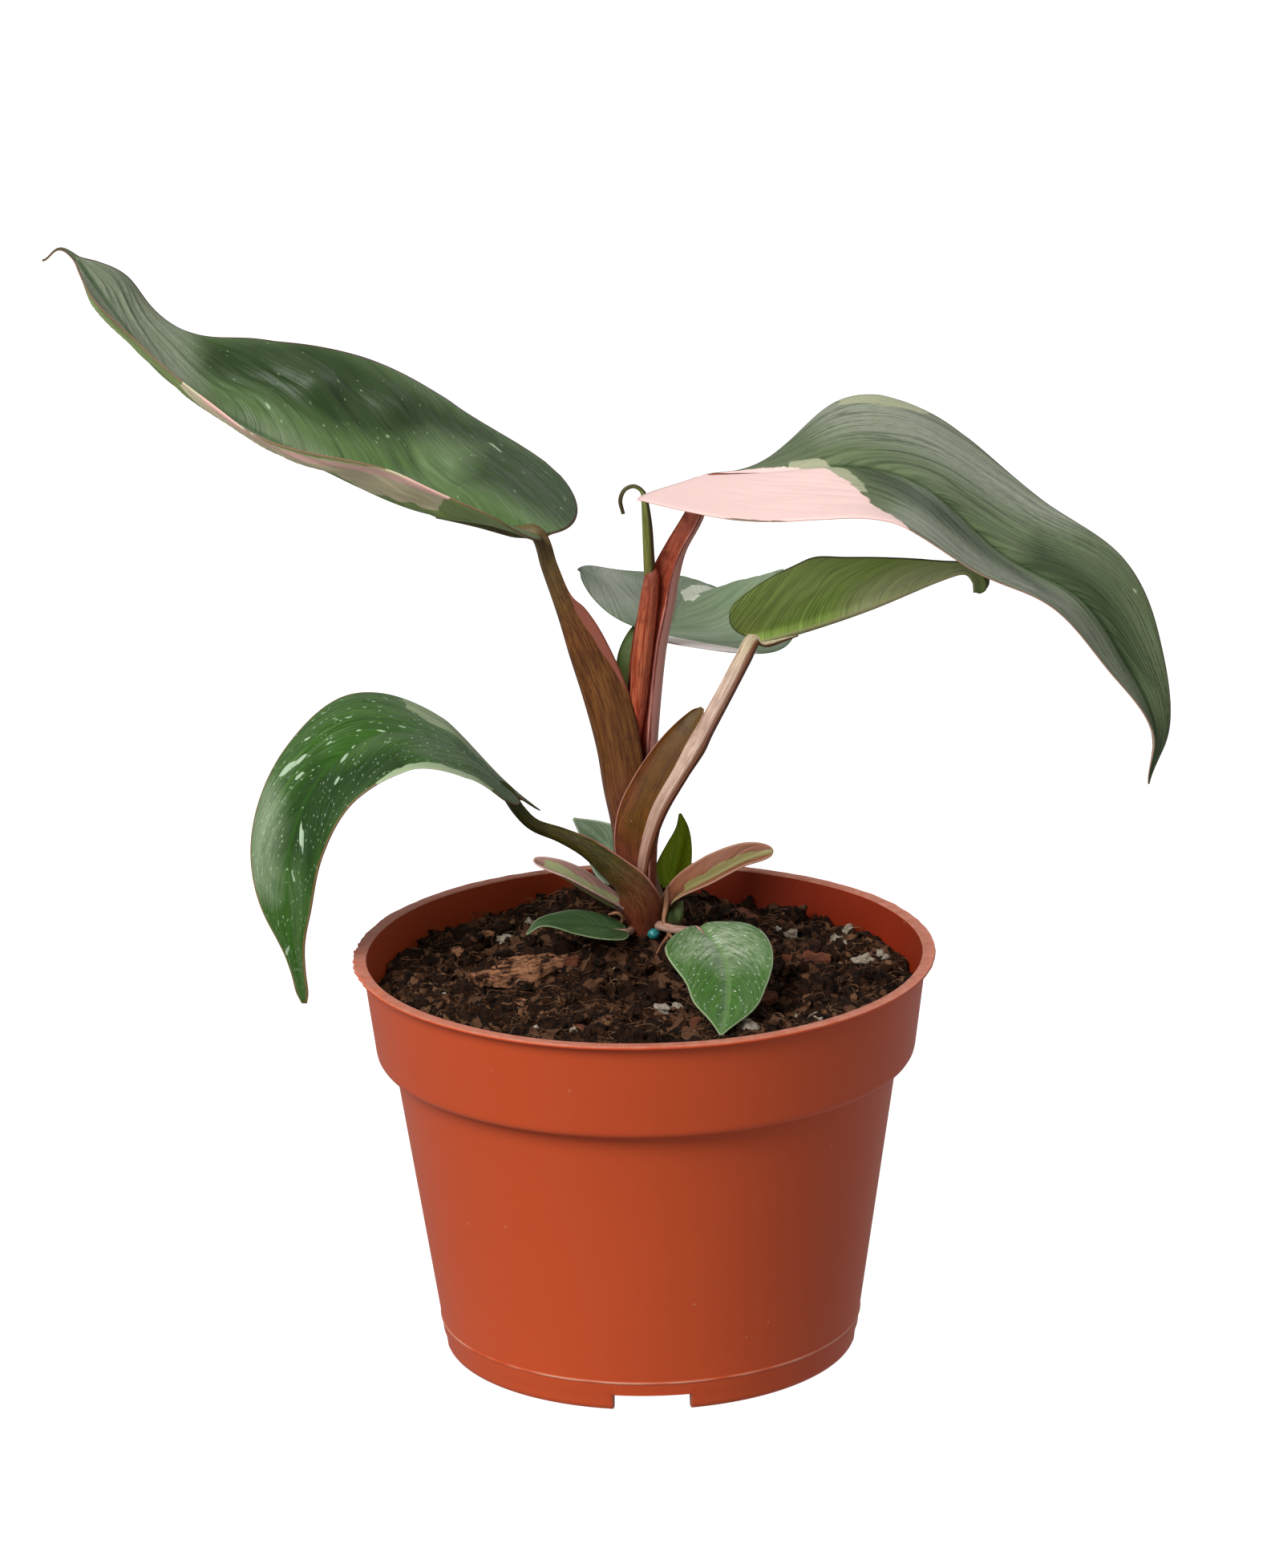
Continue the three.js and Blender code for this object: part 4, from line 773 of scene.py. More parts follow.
# A stalk is a loft of channelled sections. Each station is (x, y, z, half width, back depth, rim height,
# channel floor), or (x, y, z, radius) where it is round. Face is the way the channel opens, and lip how
# many millimetres of its edge are pink, from foot to tip. The colours are those of the back, its streaks,
# its dark shade and its foot.
STALKS = {
    "petiole_right": dict(
        carries="right", slot="red_stalk", face=(-0.6, -0.8, 0.2), lip=(0.3, 0.25, 0.25, 0.3, 0.3),
        colours=("#90341E", "#C6724E", "#58190F", "#AC382E"),
        look=dict(channel="#A04A34", lip="#6E2618", crown="#8E5644", flank=("#DC9C90", -0.55, -0.72)),
        stations=[(-0.5, 24, 81, 2.8, 2.4, 1.6, 0.2), (0, 24.5, 91, 3, 2.6, 1.5, 0.9),
                  (0, 25, 103.5, 3.1, 2.7, 1.6, 1), (0.5, 25, 113, 3.2, 2.8, 1.7, 1),
                  (2, 24, 127.5, 3.3, 2.8, 1.8, 0.8), (4, 23, 137, 3.2, 2.6, 1.8, 0.5),
                  (5.4, 22, 142.5, 2.6, 2.3, 1.7, 0.2), (7.5, 21, 148, 2, 1.6, 1.3, 0.3),
                  (10.6, 20.3, 153.7, 1.9, 1.3, 1, 0.3), (13.3, 19.5, 160, 1.6, 1.2, 0.9, 0.4)],
    ),
    "petiole_right_ridge": dict(
        slot="red_stalk", face=(-0.6, -0.8, 0.2), colours=("#983A22", "#C6704C", "#5E1C12", "#A8382C"),
        look=dict(crown="#8E4A38"),
        stations=[(-1.2, 23.2, 108, 0.8), (-0.5, 22.6, 116, 1.5), (0.4, 22, 125, 1.8),
                  (1.4, 21.6, 133, 1.8), (2.2, 21.4, 139, 1.65), (2.7, 21.4, 142.5, 1.3),
                  (2.9, 21.4, 144.2, 0.5)],
    ),
    "new_leaf": dict(
        face=(0, -1, 0), colours=("#6C7434", "#8A8E4A", "#454820", "#8E7A48"),
        look=dict(crown="#4A3826", flank=("#4A4628", -0.1, -0.5)),
        stations=[(2.6, 23.6, 137, 1), (2.3, 22.4, 141, 1.1), (2.1, 20.4, 146.5, 1.05),
                  (1.9, 19.2, 152.5, 0.95), (1.5, 18.5, 157.5, 0.65), (1, 18.5, 159.3, 0.45),
                  (-0.5, 18.5, 160.2, 0.4), (-2.2, 18.5, 159.5, 0.4), (-3, 18.5, 157.5, 0.4),
                  (-2.5, 18.5, 155, 0.35)],
    ),
    "petiole_left": dict(
        carries="left", slot="russet_stalk", face=(1, 0.3, 0.25),
        lip=(-1, -1, -1, -1, -1, 0.4, 2, 2, 0.2, -1, -1, -1, -1, -1),
        colours=("#5E3218", "#7E5226", "#3A1E10", "#7C4034"), look=dict(lip="#9C5C4C", crown="#66623A"),
        stations=[(-1, 20, 80, 3.2, 3, 3, 1), (-1.5, 20.5, 86, 3.6, 3.6, 3.4, 0.5),
                  (-2, 21, 94, 3.6, 3.8, 3.6, 0), (-3.5, 21.5, 101.5, 3.4, 3.7, 3.8, -0.3),
                  (-4.5, 22, 109.5, 3.2, 3.9, 3.9, -0.5), (-6.5, 23, 118.5, 3, 4.1, 4.1, -0.5),
                  (-10, 23.5, 128, 2.4, 3.4, 3.8, -0.6), (-12.9, 24, 134.3, 2.1, 2.2, 3, 0),
                  (-14.4, 24, 138, 1.9, 1.8, 1.5, 0.6), (-16.5, 24.5, 143.5, 1.6, 1.5, 1.4, 0.8),
                  (-18.5, 25, 149.5, 1.5, 1.4, 1.2, 0.7)],
    ),
    "petiole_middle": dict(
        face=(-0.5, -0.75, 0.4), lip=(0.3, 0.3, 0.3, 0.25),
        colours=("#6C3016", "#86501E", "#3E2010", "#84403A"),
        look=dict(channel="#613C06", lip="#C0847A", crown="#5E4408", dry=0.02),
        stations=[(-0.5, 15, 84, 3.2, 2.6, 1.8, 0.2), (-1, 15, 89.5, 4, 3, 1.8, 0.4),
                  (-1, 15, 93.5, 4.4, 3.1, 1.8, 0.5), (0, 15.5, 98, 4.6, 3.1, 1.8, 0.6),
                  (2.4, 16, 103, 4.4, 3, 1.7, 0.6), (5.6, 16.5, 108.5, 3.8, 2.6, 1.6, 0.5),
                  (8.6, 17, 113, 2.9, 1.9, 1.3, 0.4), (10.6, 17.5, 116.2, 1.6, 1, 0.7, 0.2),
                  (11.6, 17.6, 117.6, 0.5, 0.3, 0.2, 0.1)],
    ),
    "petiole_middle_rod": dict(
        carries="middle", face=(-0.4, -0.9, 0.2), colours=("#BE9A88", "#E0C4B0", "#8E6A58", "#8E5446"),
        look=dict(crown="#D0CCA2", flank=("#6E4028", -0.3, -0.65), dry=0.01),
        stations=[(-0.3, 12.6, 84, 0.9, 0.9, 0.7, 0.8), (0.6, 12.4, 91, 1.2, 1.2, 0.8, 1),
                  (3.2, 12.6, 99, 1.5, 1.4, 1, 1.2), (7.3, 13.4, 106.1, 1.6, 1.5, 1, 1.2),
                  (10.2, 14, 110.9, 1.9, 1.8, 1.1, 1.3), (12.1, 14.6, 114.3, 1.7, 1.6, 1.1, 1.2),
                  (16.1, 16.6, 121.1, 1.6, 1.4, 1, 1.1), (19.3, 19.4, 126.4, 1.6, 1.4, 0.9, 1),
                  (21.6, 22, 129.6, 1.4, 1.2, 0.8, 0.8)],
    ),
    "petiole_low": dict(
        carries="low", face=(0.5, 0.5, 0.75), lip=(0.35, 0.35, 0.3, 0, -1, -1, -1, -1),
        colours=("#362F10", "#4E4716", "#221D08", "#8C3E30"), look=dict(lip="#B4776A", crown="#3F4A18"),
        stations=[(0, 12, 76, 3, 2.6, 1.4, 0.2), (-0.5, 10.5, 82, 4.2, 3.6, 1.8, 0.2),
                  (-2, 10, 86, 3.9, 3.2, 1.8, 0.2), (-5.5, 10, 89.5, 3, 2.8, 1.6, 0.2),
                  (-10, 10.5, 93, 2.2, 2.1, 1.3, 0.3), (-15, 11, 95.5, 1.6, 1.6, 1, 0.4),
                  (-20, 11, 97.5, 1.3, 1.3, 0.9, 0.5), (-23, 11, 100.5, 1.3, 1.2, 0.9, 0.5),
                  (-25.5, 11, 104.5, 1.3, 1.2, 0.9, 0.5)],
    ),
    "petiole_back": dict(
        carries="back", face=(0, -0.7, 0.7), colours=("#60783E", "#748A4C", "#48602C", "#7C8C54"),
        look=dict(crown="#6C8450"),
        stations=[(0, 24.5, 79, 2.4, 2.2, 1.2, 0.2), (0, 28, 87, 2.2, 2, 1.3, 0.2),
                  (-0.5, 29, 96, 2, 1.9, 1.3, 0.2), (-1.5, 31, 106.5, 1.8, 1.8, 1.3, 0.2),
                  (-2.5, 33, 115.5, 1.6, 1.6, 1.2, 0.3), (-3, 35, 121, 1.4, 1.4, 1, 0.5),
                  (-2, 37, 124.5, 1.3, 1.2, 0.9, 0.5), (0.5, 39.5, 127, 1.3, 1.2, 0.9, 0.5)],
    ),
}

# The section of a stalk as shares of its half width, back depth, rim height and channel floor, from the
# middle of the channel over the right rim to the middle of the back.
SECTION = [
    # across, back, rim, floor
    (0, 0, 0, 1),
    (0.45, 0, 0.12, 0.88),
    (0.75, 0, 0.5, 0.42),
    (0.89, 0, 1, 0),
    (0.975, 0, 0.5, 0),
    (1, -0.05, 0, 0),
    (0.8, -0.6, 0, 0),
    (0.42, -0.92, 0, 0),
    (0, -1, 0, 0),
]
SECTION += [(-across, *rest) for across, *rest in SECTION[-2:0:-1]]


def station(x, y, z, radius, *channelled):
    """A whole station. One that has only a radius is plainly round."""
    return x, y, z, radius, *(channelled or (radius, radius / 2, radius))


def stalk(stations, face, lip=(0, 0), sides=56, rows=130):
    """A closed stalk through its stations, whose channel opens towards its face."""
    shape, turn, along = tube(sides, rows)
    stations = np.array([station(*numbers) for numbers in stations], float)
    route = curve(stations[:, :3], along)
    width, back, rim, bed = (curve(stations[:, k], along, "held") for k in (3, 4, 5, 6))
    tangent = direction(stations[:, :3], along)
    out = square_to(np.tile(np.array(face, float), (len(route), 1)), tangent)
    side = np.cross(out, tangent)
    shares = curve(SECTION, turn, "closed")
    across = shares[:, 0] * width
    outward = shares[:, 1] * back + shares[:, 2] * rim + shares[:, 3] * bed
    length = np.linalg.norm(np.diff(stations[:, :3], axis=0), axis=1).sum()
    from_lip = (1 - shares[:, 2]) * rim + 4 * shares[:, 3]
    mark(shape, "growth", across, outward, along * length)
    mark(shape, "tone", curve(lip, along, "held") - from_lip, shares[:, 3], along)
    mark(shape, "bloom", *shares[:, :3].T)
    move_to(shape.verts, route + side * across[:, None] + out * outward[:, None])
    return close_tube(shape)


# How a stalk runs on into the midrib under its blade: how far along the blade, and its radius there, and
# how far below the blade's middle it keeps.
RUN_ON = ((0.05, 0.11, 0.18), (1.05, 0.8, 0.45))
BELOW_BLADE = 1.2


def under_blade(leaf):
    """The stations with which a stalk runs on under its blade."""
    along, radii = RUN_ON
    spots, _ = blade_surface({**PLAIN_LEAF, **leaf}, np.zeros(len(along)), np.array(along))
    return [(x, y, z - BELOW_BLADE, radius) for (x, y, z), radius in zip(spots, radii)]


# ---------------------------------------------------------------- pot

POT_PROFILE = [
    # radius, height, radius of the rounded corner
    (36.6, 0, 0.2),
    (38.3, 0, 0.8),
    (38.75, 1.0, 0.3),
    (39.0, 2.9, 0),
    (39.1, 3.2, 0),
    (39.38, 5.4, 0.1),
    (39.62, 5.75, 0.1),
    (39.48, 6.1, 0.1),
    (47, 57, 0.5),
    (50, 57, 1.6),
    (52.3, 75.1, 0.3),
    (53.6, 75.3, 0.15),
    (54, 75.55, 0.12),
    (53.9, 76, 0.15),
    (51.6, 76, 0.25),
    (48.7, 58.3, 1.2),
    (45.7, 57, 1.2),
    (37.7, 4.7, 0.3),
    (36.6, 3.4, 0.2),
]
# The middle of the wall, which parts its inside from its outside: heights and radii.
WALL_MIDDLE = ((3, 57, 58.5, 76), (38, 46.4, 49.2, 52.2))
POT_STEPS = 360
# Columns 10 and 11, counted from a notch's middle, are drawn this close to its edge.
NOTCH = dict(step=90, half_angle=10.83, height=3, columns=(10, 11), apart=0.05)
FLOOR = dict(radius=37.2, bottom=3.4, thickness=1.3)
HOLES = dict(count=5, radius=3.2, circle=24)
# Where flash was torn off the lip, and how far that goes, in degrees. How rough the lip is there and
# all round, outwards and upwards, and how far the pot is out of true, are in millimetres.
TORN = dict(at=194, spread=20, out=1.3, up=1.1)
CHIPPED = dict(out=0.12, up=0.08)
WOBBLE = 0.25


def rounded(profile, pieces=4):
    """A closed profile with its corners rounded."""
    points = []
    for n, (r, z, radius) in enumerate(profile):
        corner = Vector((r, z))
        before = Vector(profile[n - 1][:2]) - corner
        after = Vector(profile[(n + 1) % len(profile)][:2]) - corner
        if radius == 0:
            points.append(corner)
            continue
        enter = corner + before.normalized() * min(radius, before.length * 0.45)
        leave = corner + after.normalized() * min(radius, after.length * 0.45)
        for k in range(pieces + 1):
            t = k / pieces
            points.append(enter * (1 - t) ** 2 + corner * 2 * t * (1 - t) + leave * t**2)
    return points


def cut_notches(turn, height):
    """Lifts the foot's edge in each drain notch, between two columns that are drawn close together."""
    centre = np.round(turn / NOTCH["step"]) * NOTCH["step"]
    off = turn - centre
    foot = height < NOTCH["height"]
    inside = foot & (np.abs(off) < NOTCH["half_angle"])
    for column, hand in zip(NOTCH["columns"], (-1, 1)):
        beside = foot & (np.abs(np.abs(off) - column) < 0.3)
        edge = NOTCH["half_angle"] + hand * NOTCH["apart"]
        turn[beside] = (centre + np.sign(off) * edge)[beside]
    height[inside] = NOTCH["height"] + 0.06 * height[inside]


def pot_wall():
    """The pot without its floor: its profile spun round, notched at the foot and a little out of true."""
    shape = bmesh.new()
    ring = [shape.verts.new((p.x, 0, p.y)) for p in rounded(POT_PROFILE)]
    edges = [shape.edges.new((a, b)) for a, b in zip(ring, ring[1:] + ring[:1])]
    bmesh.ops.spin(shape, geom=ring + edges, cent=(0, 0, 0), axis=(0, 0, 1), dvec=(0, 0, 0),
                   angle=2 * math.pi, steps=POT_STEPS, use_merge=True)
    places = corners(shape)
    radius = np.hypot(places[:, 0], places[:, 1])
    turn = np.degrees(np.arctan2(places[:, 1], places[:, 0]))
    height = places[:, 2].copy()
    cut_notches(turn, height)

    # Inside, the far wall is darkened with painted shade. The lip's top face is paler.
    painted_inner_shade = (radius < np.interp(height, *WALL_MIDDLE)) * ramp(places[:, 0], -38, 40)
    topmost = ramp(height, 75.6, 0.3)
    mark(shape, "within", painted_inner_shade, topmost, 0 * painted_inner_shade)

    # The lip is a little out of true, and ragged at the left, where flash was torn off it.
    around = np.radians(turn)
    wobble, chips, nicks = (
        np.array([noise.noise((math.cos(a) * tight, math.sin(a) * tight, 5)) for a in around])
        for tight in (2, 16, 48)
    )
    lip = ramp(height, 74.3, 0.4) * ramp(radius, 52.8, 0.8)
    torn = np.exp(-(((turn % 360 - TORN["at"]) / TORN["spread"]) ** 2))
    ragged_out = lip * (CHIPPED["out"] * chips + TORN["out"] * torn * nicks)
    ragged_up = lip * (CHIPPED["up"] * chips + TORN["up"] * torn * nicks)
    radius += WOBBLE * wobble * ramp(height, 0, 75) + ragged_out
    height += WOBBLE * wobble * ramp(height, 40, 30) + ragged_up
    move_to(shape.verts, np.stack([radius * np.cos(around), radius * np.sin(around), height], 1))
    return facing_out(shape)


def pot_floor():
    """The flat floor with its round drain holes."""
    shape = bmesh.new()
    bmesh.ops.create_circle(shape, segments=120, radius=FLOOR["radius"])
    for n in range(HOLES["count"]):
        turn = 2 * math.pi * (n + 0.25) / HOLES["count"] - math.pi / 2
        at = Vector((HOLES["circle"] * math.cos(turn), HOLES["circle"] * math.sin(turn), 0))
        bmesh.ops.create_circle(shape, segments=32, radius=HOLES["radius"], matrix=Matrix.Translation(at))
    filled = bmesh.ops.triangle_fill(shape, edges=shape.edges, use_beauty=True)["geom"]
    faces = [item for item in filled if isinstance(item, bmesh.types.BMFace)]
    raised = bmesh.ops.extrude_face_region(shape, geom=faces)["geom"]
    top = [item for item in raised if isinstance(item, bmesh.types.BMVert)]
    bmesh.ops.translate(shape, verts=top, vec=(0, 0, FLOOR["thickness"]))
    bmesh.ops.translate(shape, verts=shape.verts, vec=(0, 0, FLOOR["bottom"]))
    return facing_out(shape)


# ---------------------------------------------------------------- potting mix

SOIL_REACH, SOIL_LEVEL = 50.0, 69
MOUND = dict(x=-5, y=22, height=13, spread=19)
HOLLOW = dict(x=0.5, y=-1, height=-6, spread=7)
HEAP_REACH = SOIL_REACH - 1.2
# The filling's side against the pot and its underside, as radii and heights.
SOIL_SIDE = [(48.1, 58.7), (45.1, 57), (36.7, 5), (0, 5)]
SOIL_RINGS, SOIL_TURNS = 76, 300


def soil_height(x, y):
    """The lie of the mix: a mound at the plant, a hollow in front of it, and slow unevenness."""
    mound, hollow = (
        rise["height"] * np.exp(-((x - rise["x"]) ** 2 + (y - rise["y"]) ** 2) / rise["spread"] ** 2)
        for rise in (MOUND, HOLLOW)
    )
    uneven = 0.7 * np.sin(0.41 * x + 1.3) * np.sin(0.37 * y + 0.4)
    uneven = uneven + 0.45 * np.sin(0.83 * x - 0.6 * y) + 0.3 * np.sin(1.25 * y + 0.9 * x + 2)
    return SOIL_LEVEL + mound + hollow + uneven


def broken(x, y, clod=5, crumb=1.5):
    """The rough of clods and crumbs, of these sizes, on top of that lie."""
    coarse = noise.fractal((x / clod, y / clod, 1.5), 1, 2, 3)
    fine = noise.fractal((x / crumb, y / crumb, 7.5), 0.6, 2, 3)
    return 1.8 * coarse + 0.8 * fine


def on_mix(x, y, lift=0.0):
    """A place on the broken mix."""
    return x, y, float(soil_height(x, y)) + broken(x, y) + lift


def potting_mix():
    """The whole filling, broken and cloddy on top and smooth where it lies against the pot."""
    rows = SOIL_RINGS + len(SOIL_SIDE)
    shape, turn, along = tube(SOIL_TURNS, rows)
    row = np.round(along * rows).astype(int)
    reach = np.where(row <= SOIL_RINGS, SOIL_REACH * row / SOIL_RINGS, 0)
    level = np.zeros(len(row))
    for n, (radius, z) in enumerate(SOIL_SIDE, SOIL_RINGS + 1):
        reach[row == n] = radius
        level[row == n] = z
    x, y = reach * np.cos(2 * np.pi * turn), reach * np.sin(2 * np.pi * turn)
    rough = np.array([broken(a, b) for a, b in zip(x, y)])
    level = np.where(row <= SOIL_RINGS, soil_height(x, y) + rough, level)
    move_to(shape.verts, np.stack([x, y, level], 1))
    bmesh.ops.remove_doubles(shape, verts=shape.verts, dist=1e-3)
    return facing_out(shape)


def turned(rng):
    """A turn about a random axis."""
    axis = Vector((rng.gauss(0, 1), rng.gauss(0, 1), rng.gauss(0, 1))).normalized()
    return Matrix.Rotation(rng.uniform(0, 2 * math.pi), 3, axis)


def heap_spot(rng):
    """A random place on the mix, clear of the pot's wall."""
    turn, out = rng.uniform(0, 2 * math.pi), HEAP_REACH * math.sqrt(rng.random())
    return on_mix(out * math.cos(turn), out * math.sin(turn))


def strewn(rng, count, least, most, power=1):
    """Random places on the mix, each with a radius. A higher power makes more of them small."""
    return [(*heap_spot(rng), least + (most - least) * rng.random() ** power) for _ in range(count)]


def keep_inside(places):
    """Moves what would poke through the pot's wall back inside it."""
    for place in places:
        out = math.hypot(place.x, place.y)
        if out > SOIL_REACH:
            place.x, place.y = place.x * SOIL_REACH / out, place.y * SOIL_REACH / out


def lumps(spots, seed, rough=0.35, detail=1, flat=0.7):
    """Irregular crumbs, one at each (x, y, z, radius)."""
    rng = random.Random(seed)
    shape = bmesh.new()
    bmesh.ops.create_icosphere(shape, subdivisions=detail, radius=1)
    ball = [v.co.copy() for v in shape.verts]
    many(shape, len(spots))
    places = []
    for x, y, z, radius in spots:
        turn = turned(rng)
        shift = Vector((rng.uniform(0, 90), rng.uniform(0, 90), 0))
        stretch = Vector((rng.uniform(0.75, 1.25), rng.uniform(0.75, 1.25), flat))
        for corner in ball:
            swell = noise.noise(corner * 1.4 + shift) + 0.6 * noise.noise(corner * 3.5 + shift)
            lump = corner * (1 + rough * swell) * radius
            places.append(turn @ (lump * stretch) + Vector((x, y, z)))
    keep_inside(places)
    move_to(shape.verts, places)
    return shape


def fibres(count, seed, longest, thickness):
    """Curly threads of peat and root that lie on the mix."""
    rng = random.Random(seed)
    shape, turn, along = tube(sides=3, rows=6)
    many(shape, count)
    places = []
    for _ in range(count):
        foot = Vector(heap_spot(rng))
        heading, bend = rng.uniform(0, 2 * math.pi), rng.uniform(-2.4, 2.4)
        length, lift = rng.uniform(0.35, 1) * longest, rng.uniform(-0.1, 0.75)
        radius = thickness * rng.uniform(0.6, 1.2)
        for around, t in zip(turn, along):
            way = heading + bend * t
            step = Vector((math.cos(way), math.sin(way), 0)) * length * t
            step.z = 0.3 + lift * length * 0.35 * math.sin(math.pi * min(1, t * 1.2))
            angle = 2 * math.pi * around
            level = math.cos(angle)
            ring = Vector((-math.sin(way) * level, math.cos(way) * level, math.sin(angle)))
            places.append(foot + step + ring * (radius * (1 - 0.7 * t)))
    keep_inside(places)
    move_to(shape.verts, places)
    return close_tube(shape)


def chip(at, size, turn, tilt, seed, cuts):
    """A torn flake of bark: layered, ragged at the ends and ridged along its grain."""
    shape = bmesh.new()
    bmesh.ops.create_cube(shape, size=1)
    bmesh.ops.subdivide_edges(shape, edges=shape.edges, cuts=cuts, use_grid_fill=True)
    long, wide, thick = size
    places = []
    for vert in shape.verts:
        x, y, z = vert.co.x * long, vert.co.y * wide, vert.co.z * thick
        taper = 1 - 0.5 * abs(2 * vert.co.x) ** 3 + 0.18 * noise.noise((x / 3, seed, 0))
        ends = 1 + 0.14 * noise.noise((y / 1.1, seed, 4))
        edge = 0.12 * wide * noise.noise((x / 1.6, vert.co.y, seed + 2)) * abs(2 * vert.co.y)
        ridges = 0.1 * wide * noise.fractal((x / 3.5, y / 0.9, seed + z), 0.6, 2, 4)
        arch = 0.06 * wide * math.cos(math.pi * vert.co.y) + 0.5 * math.sin(0.45 * x + 0.5 * y)
        places.append(Vector((x * ends, y * taper + edge, z * (0.8 + 0.4 * taper) + ridges + arch)))
    move_to(shape.verts, places)
    place = Matrix.Translation(at) @ Matrix.Rotation(turn, 4, "Z") @ Matrix.Rotation(tilt, 4, "Y")
    bmesh.ops.transform(shape, matrix=place, verts=shape.verts)
    return facing_out(shape)


# ---------------------------------------------------------------- the plant

# For each leaf its upper and then its lower side: the colours of its deep and fresh tissue, its wax bloom
# and painted sheen, its darker tissue and painted shade, and its rim, and then the rest of its look.
SKINS = {
    "left": (
        (("#4E6A3C", "#647E48", "#AEB2A0", "#0A2404", "#5A332E"),
         dict(patches=("#F2B9AC", None), fleck="#A6BC98", crowd=0.08, midrib="#4B6B3C", haze_and_sheen_strength=0.55,
              lines=0.28, gloss=0.33, ragged=0.8)),
        (("#7C9450", "#98AC62", "#A9B48A", "#56683C", "#8A5B50"),
         dict(patches=("#F6C4B6", "#DCCFAA"), gloss=0.5, haze_and_sheen_strength=0.3, ragged=0.8)),
    ),
    "right": (
        (("#4A5738", "#72825A", "#A6AA9A", "#1E3014", "#5E4236"),
         dict(patches=("#FAD6D0", "#A9AC8C"), fleck="#B4BE9F", midrib="#2C4620", haze_and_sheen_strength=0.55, lines=0.55,
              gloss=0.38, ragged=1.5, rim_hold=0.5)),
        (("#5F7150", "#748460", "#8C9880", "#46583A", "#B98C7C"),
         dict(patches=("#EFC0B6", "#A9A98A"), gloss=0.5, haze_and_sheen_strength=0.3)),
    ),
    "middle": (
        (("#46682C", "#5E843C", "#7A8F63", "#2A441A", "#4F3A2C"), dict(midrib="#7E9460")),
        (("#7C9642", "#98B456", "#C4BC9C", "#2A3C1E", "#4A4A2A"),
         dict(midrib="#C9BE92", gloss=0.45, haze_and_sheen_strength=0.7, rim_width=0.15, lines=0.3)),
    ),
    "back": (
        (("#6C825E", "#8A9B7C", "#D2DAC8", "#435C3A", "#8A9C80"),
         dict(haze_and_sheen_strength=0.7, patches=("#F1E4DE", "#DBDFC9"), gloss=0.5, lines=0.4, ragged=0.9,
              rim_width=0.12)),
        (("#72886A", "#889C7A", "#A8B49C", "#566F4E", "#8A9A7C"),
         dict(patches=("#F1E4DE", "#CDD3BE"), gloss=0.55, ragged=0.9)),
    ),
    "low": (
        (("#1F4606", "#3C6A14", "#AAB79A", "#0F2E04", "#8A6440"),
         dict(patches=("#9DB08A", "#8E9E76"), fleck="#B2C8A8", crowd=0.6, midrib="#2E5812", haze_and_sheen_strength=0.65,
              lines=0.3, ragged=1.4, gloss=0.36)),
        (("#557344", "#6C8856", "#8BA078", "#3E5A30", "#86624F"),
         dict(patches=("#C3CBA4", "#A0AC84"), gloss=0.48, haze_and_sheen_strength=0.3)),
    ),
    "bud_scale_left": (
        (("#B0867A", "#C89C90", "#D0A89C", "#7A5848", "#E4BDB2"),
         dict(midrib="#9A6E60", patches=(None, "#B4B888"), gloss=0.45, ragged=0.8)),
        (("#A87C70", "#BE9084", "#B49080", "#6A4A3C", "#E4BDB2"),
         dict(patches=(None, "#A8AC78"), gloss=0.45, ragged=0.8)),
    ),
    "bud_scale_right": (
        (("#744632", "#945C42", "#84683E", "#4A2C1E", "#AE806A"),
         dict(midrib="#7A4838", patches=(None, "#888050"), gloss=0.45, ragged=0.8)),
        (("#744632", "#8C583E", "#7C683C", "#4A2C1E", "#B98A76"),
         dict(patches=(None, "#888050"), gloss=0.45, ragged=0.8)),
    ),
    "leaf_small_front": (
        (("#2E5A1A", "#4C762C", "#C0CCB0", "#1E4616", "#9DB088"),
         dict(fleck="#D3DCCB", crowd=0.6, midrib="#6F8E58", haze_and_sheen_strength=0.4, grain=0.95, gloss=0.38,
              rim_width=0.16)),
        (("#5E8050", "#70905E", "#93A884", "#466638", "#A9BB8C"), dict(gloss=0.5)),
    ),
    "leaf_small_low": (
        (("#2C4424", "#445C36", "#66805C", "#16300F", "#93A57A"), dict(gloss=0.38, rim_width=0.14)),
        (("#4A6C3A", "#5E804A", "#86A070", "#365428", "#8FA574"), dict(gloss=0.5)),
    ),
    "leaf_small_back": (
        (("#5A6E50", "#728468", "#9AA68E", "#3A4E32", "#B4BCA2"), dict(gloss=0.5)),
        (("#5A6E4E", "#728464", "#98A488", "#3C5034", "#B4BCA2"), dict(gloss=0.5)),
    ),
    "leaf_small_bright": (
        (("#7AA00A", "#A6CC1E", "#B4C83A", "#4A6A06", "#8A9A28"),
         dict(fleck="#C4D85C", crowd=0.3, haze_and_sheen_strength=0.15, gloss=0.5)),
        (("#7EA40A", "#AAD020", "#B4C83E", "#4E6E08", "#8E9E2A"),
         dict(fleck="#C4D85C", crowd=0.3, haze_and_sheen_strength=0.15, gloss=0.5)),
    ),
}

# How finely a blade is drawn across and along, and how far its midrib stands out below.
LARGE_BLADE, SMALL_BLADE = (80, 170, 1.2), (36, 72, 0.35)

for name, leaf in (LARGE_LEAVES | SMALL_LEAVES).items():
    large = name in LARGE_LEAVES
    skins = [
        leaf_skin(f"waxy_{name}_{side}", *colours, **look)
        for side, (colours, look) in zip(("upper", "lower"), SKINS[name])
    ]
    shape = blade(leaf, *(LARGE_BLADE if large else SMALL_BLADE))
    piece(f"{name}_blade", shape, skins, f"leaf_{name}" if large else name)

for name, part in STALKS.items():
    carried = under_blade(LARGE_LEAVES[part["carries"]]) if "carries" in part else []
    shape = stalk(part["stations"] + carried, part["face"], part.get("lip", (0, 0)))
    skin = stalk_skin(f"fleshy_{name}", *part["colours"], **part["look"])
    node = None if name.endswith(("rod", "ridge")) else name
    piece(f"{name}_stalk", shape, [skin], node)

# ---------------------------------------------------------------- small parts of the plant

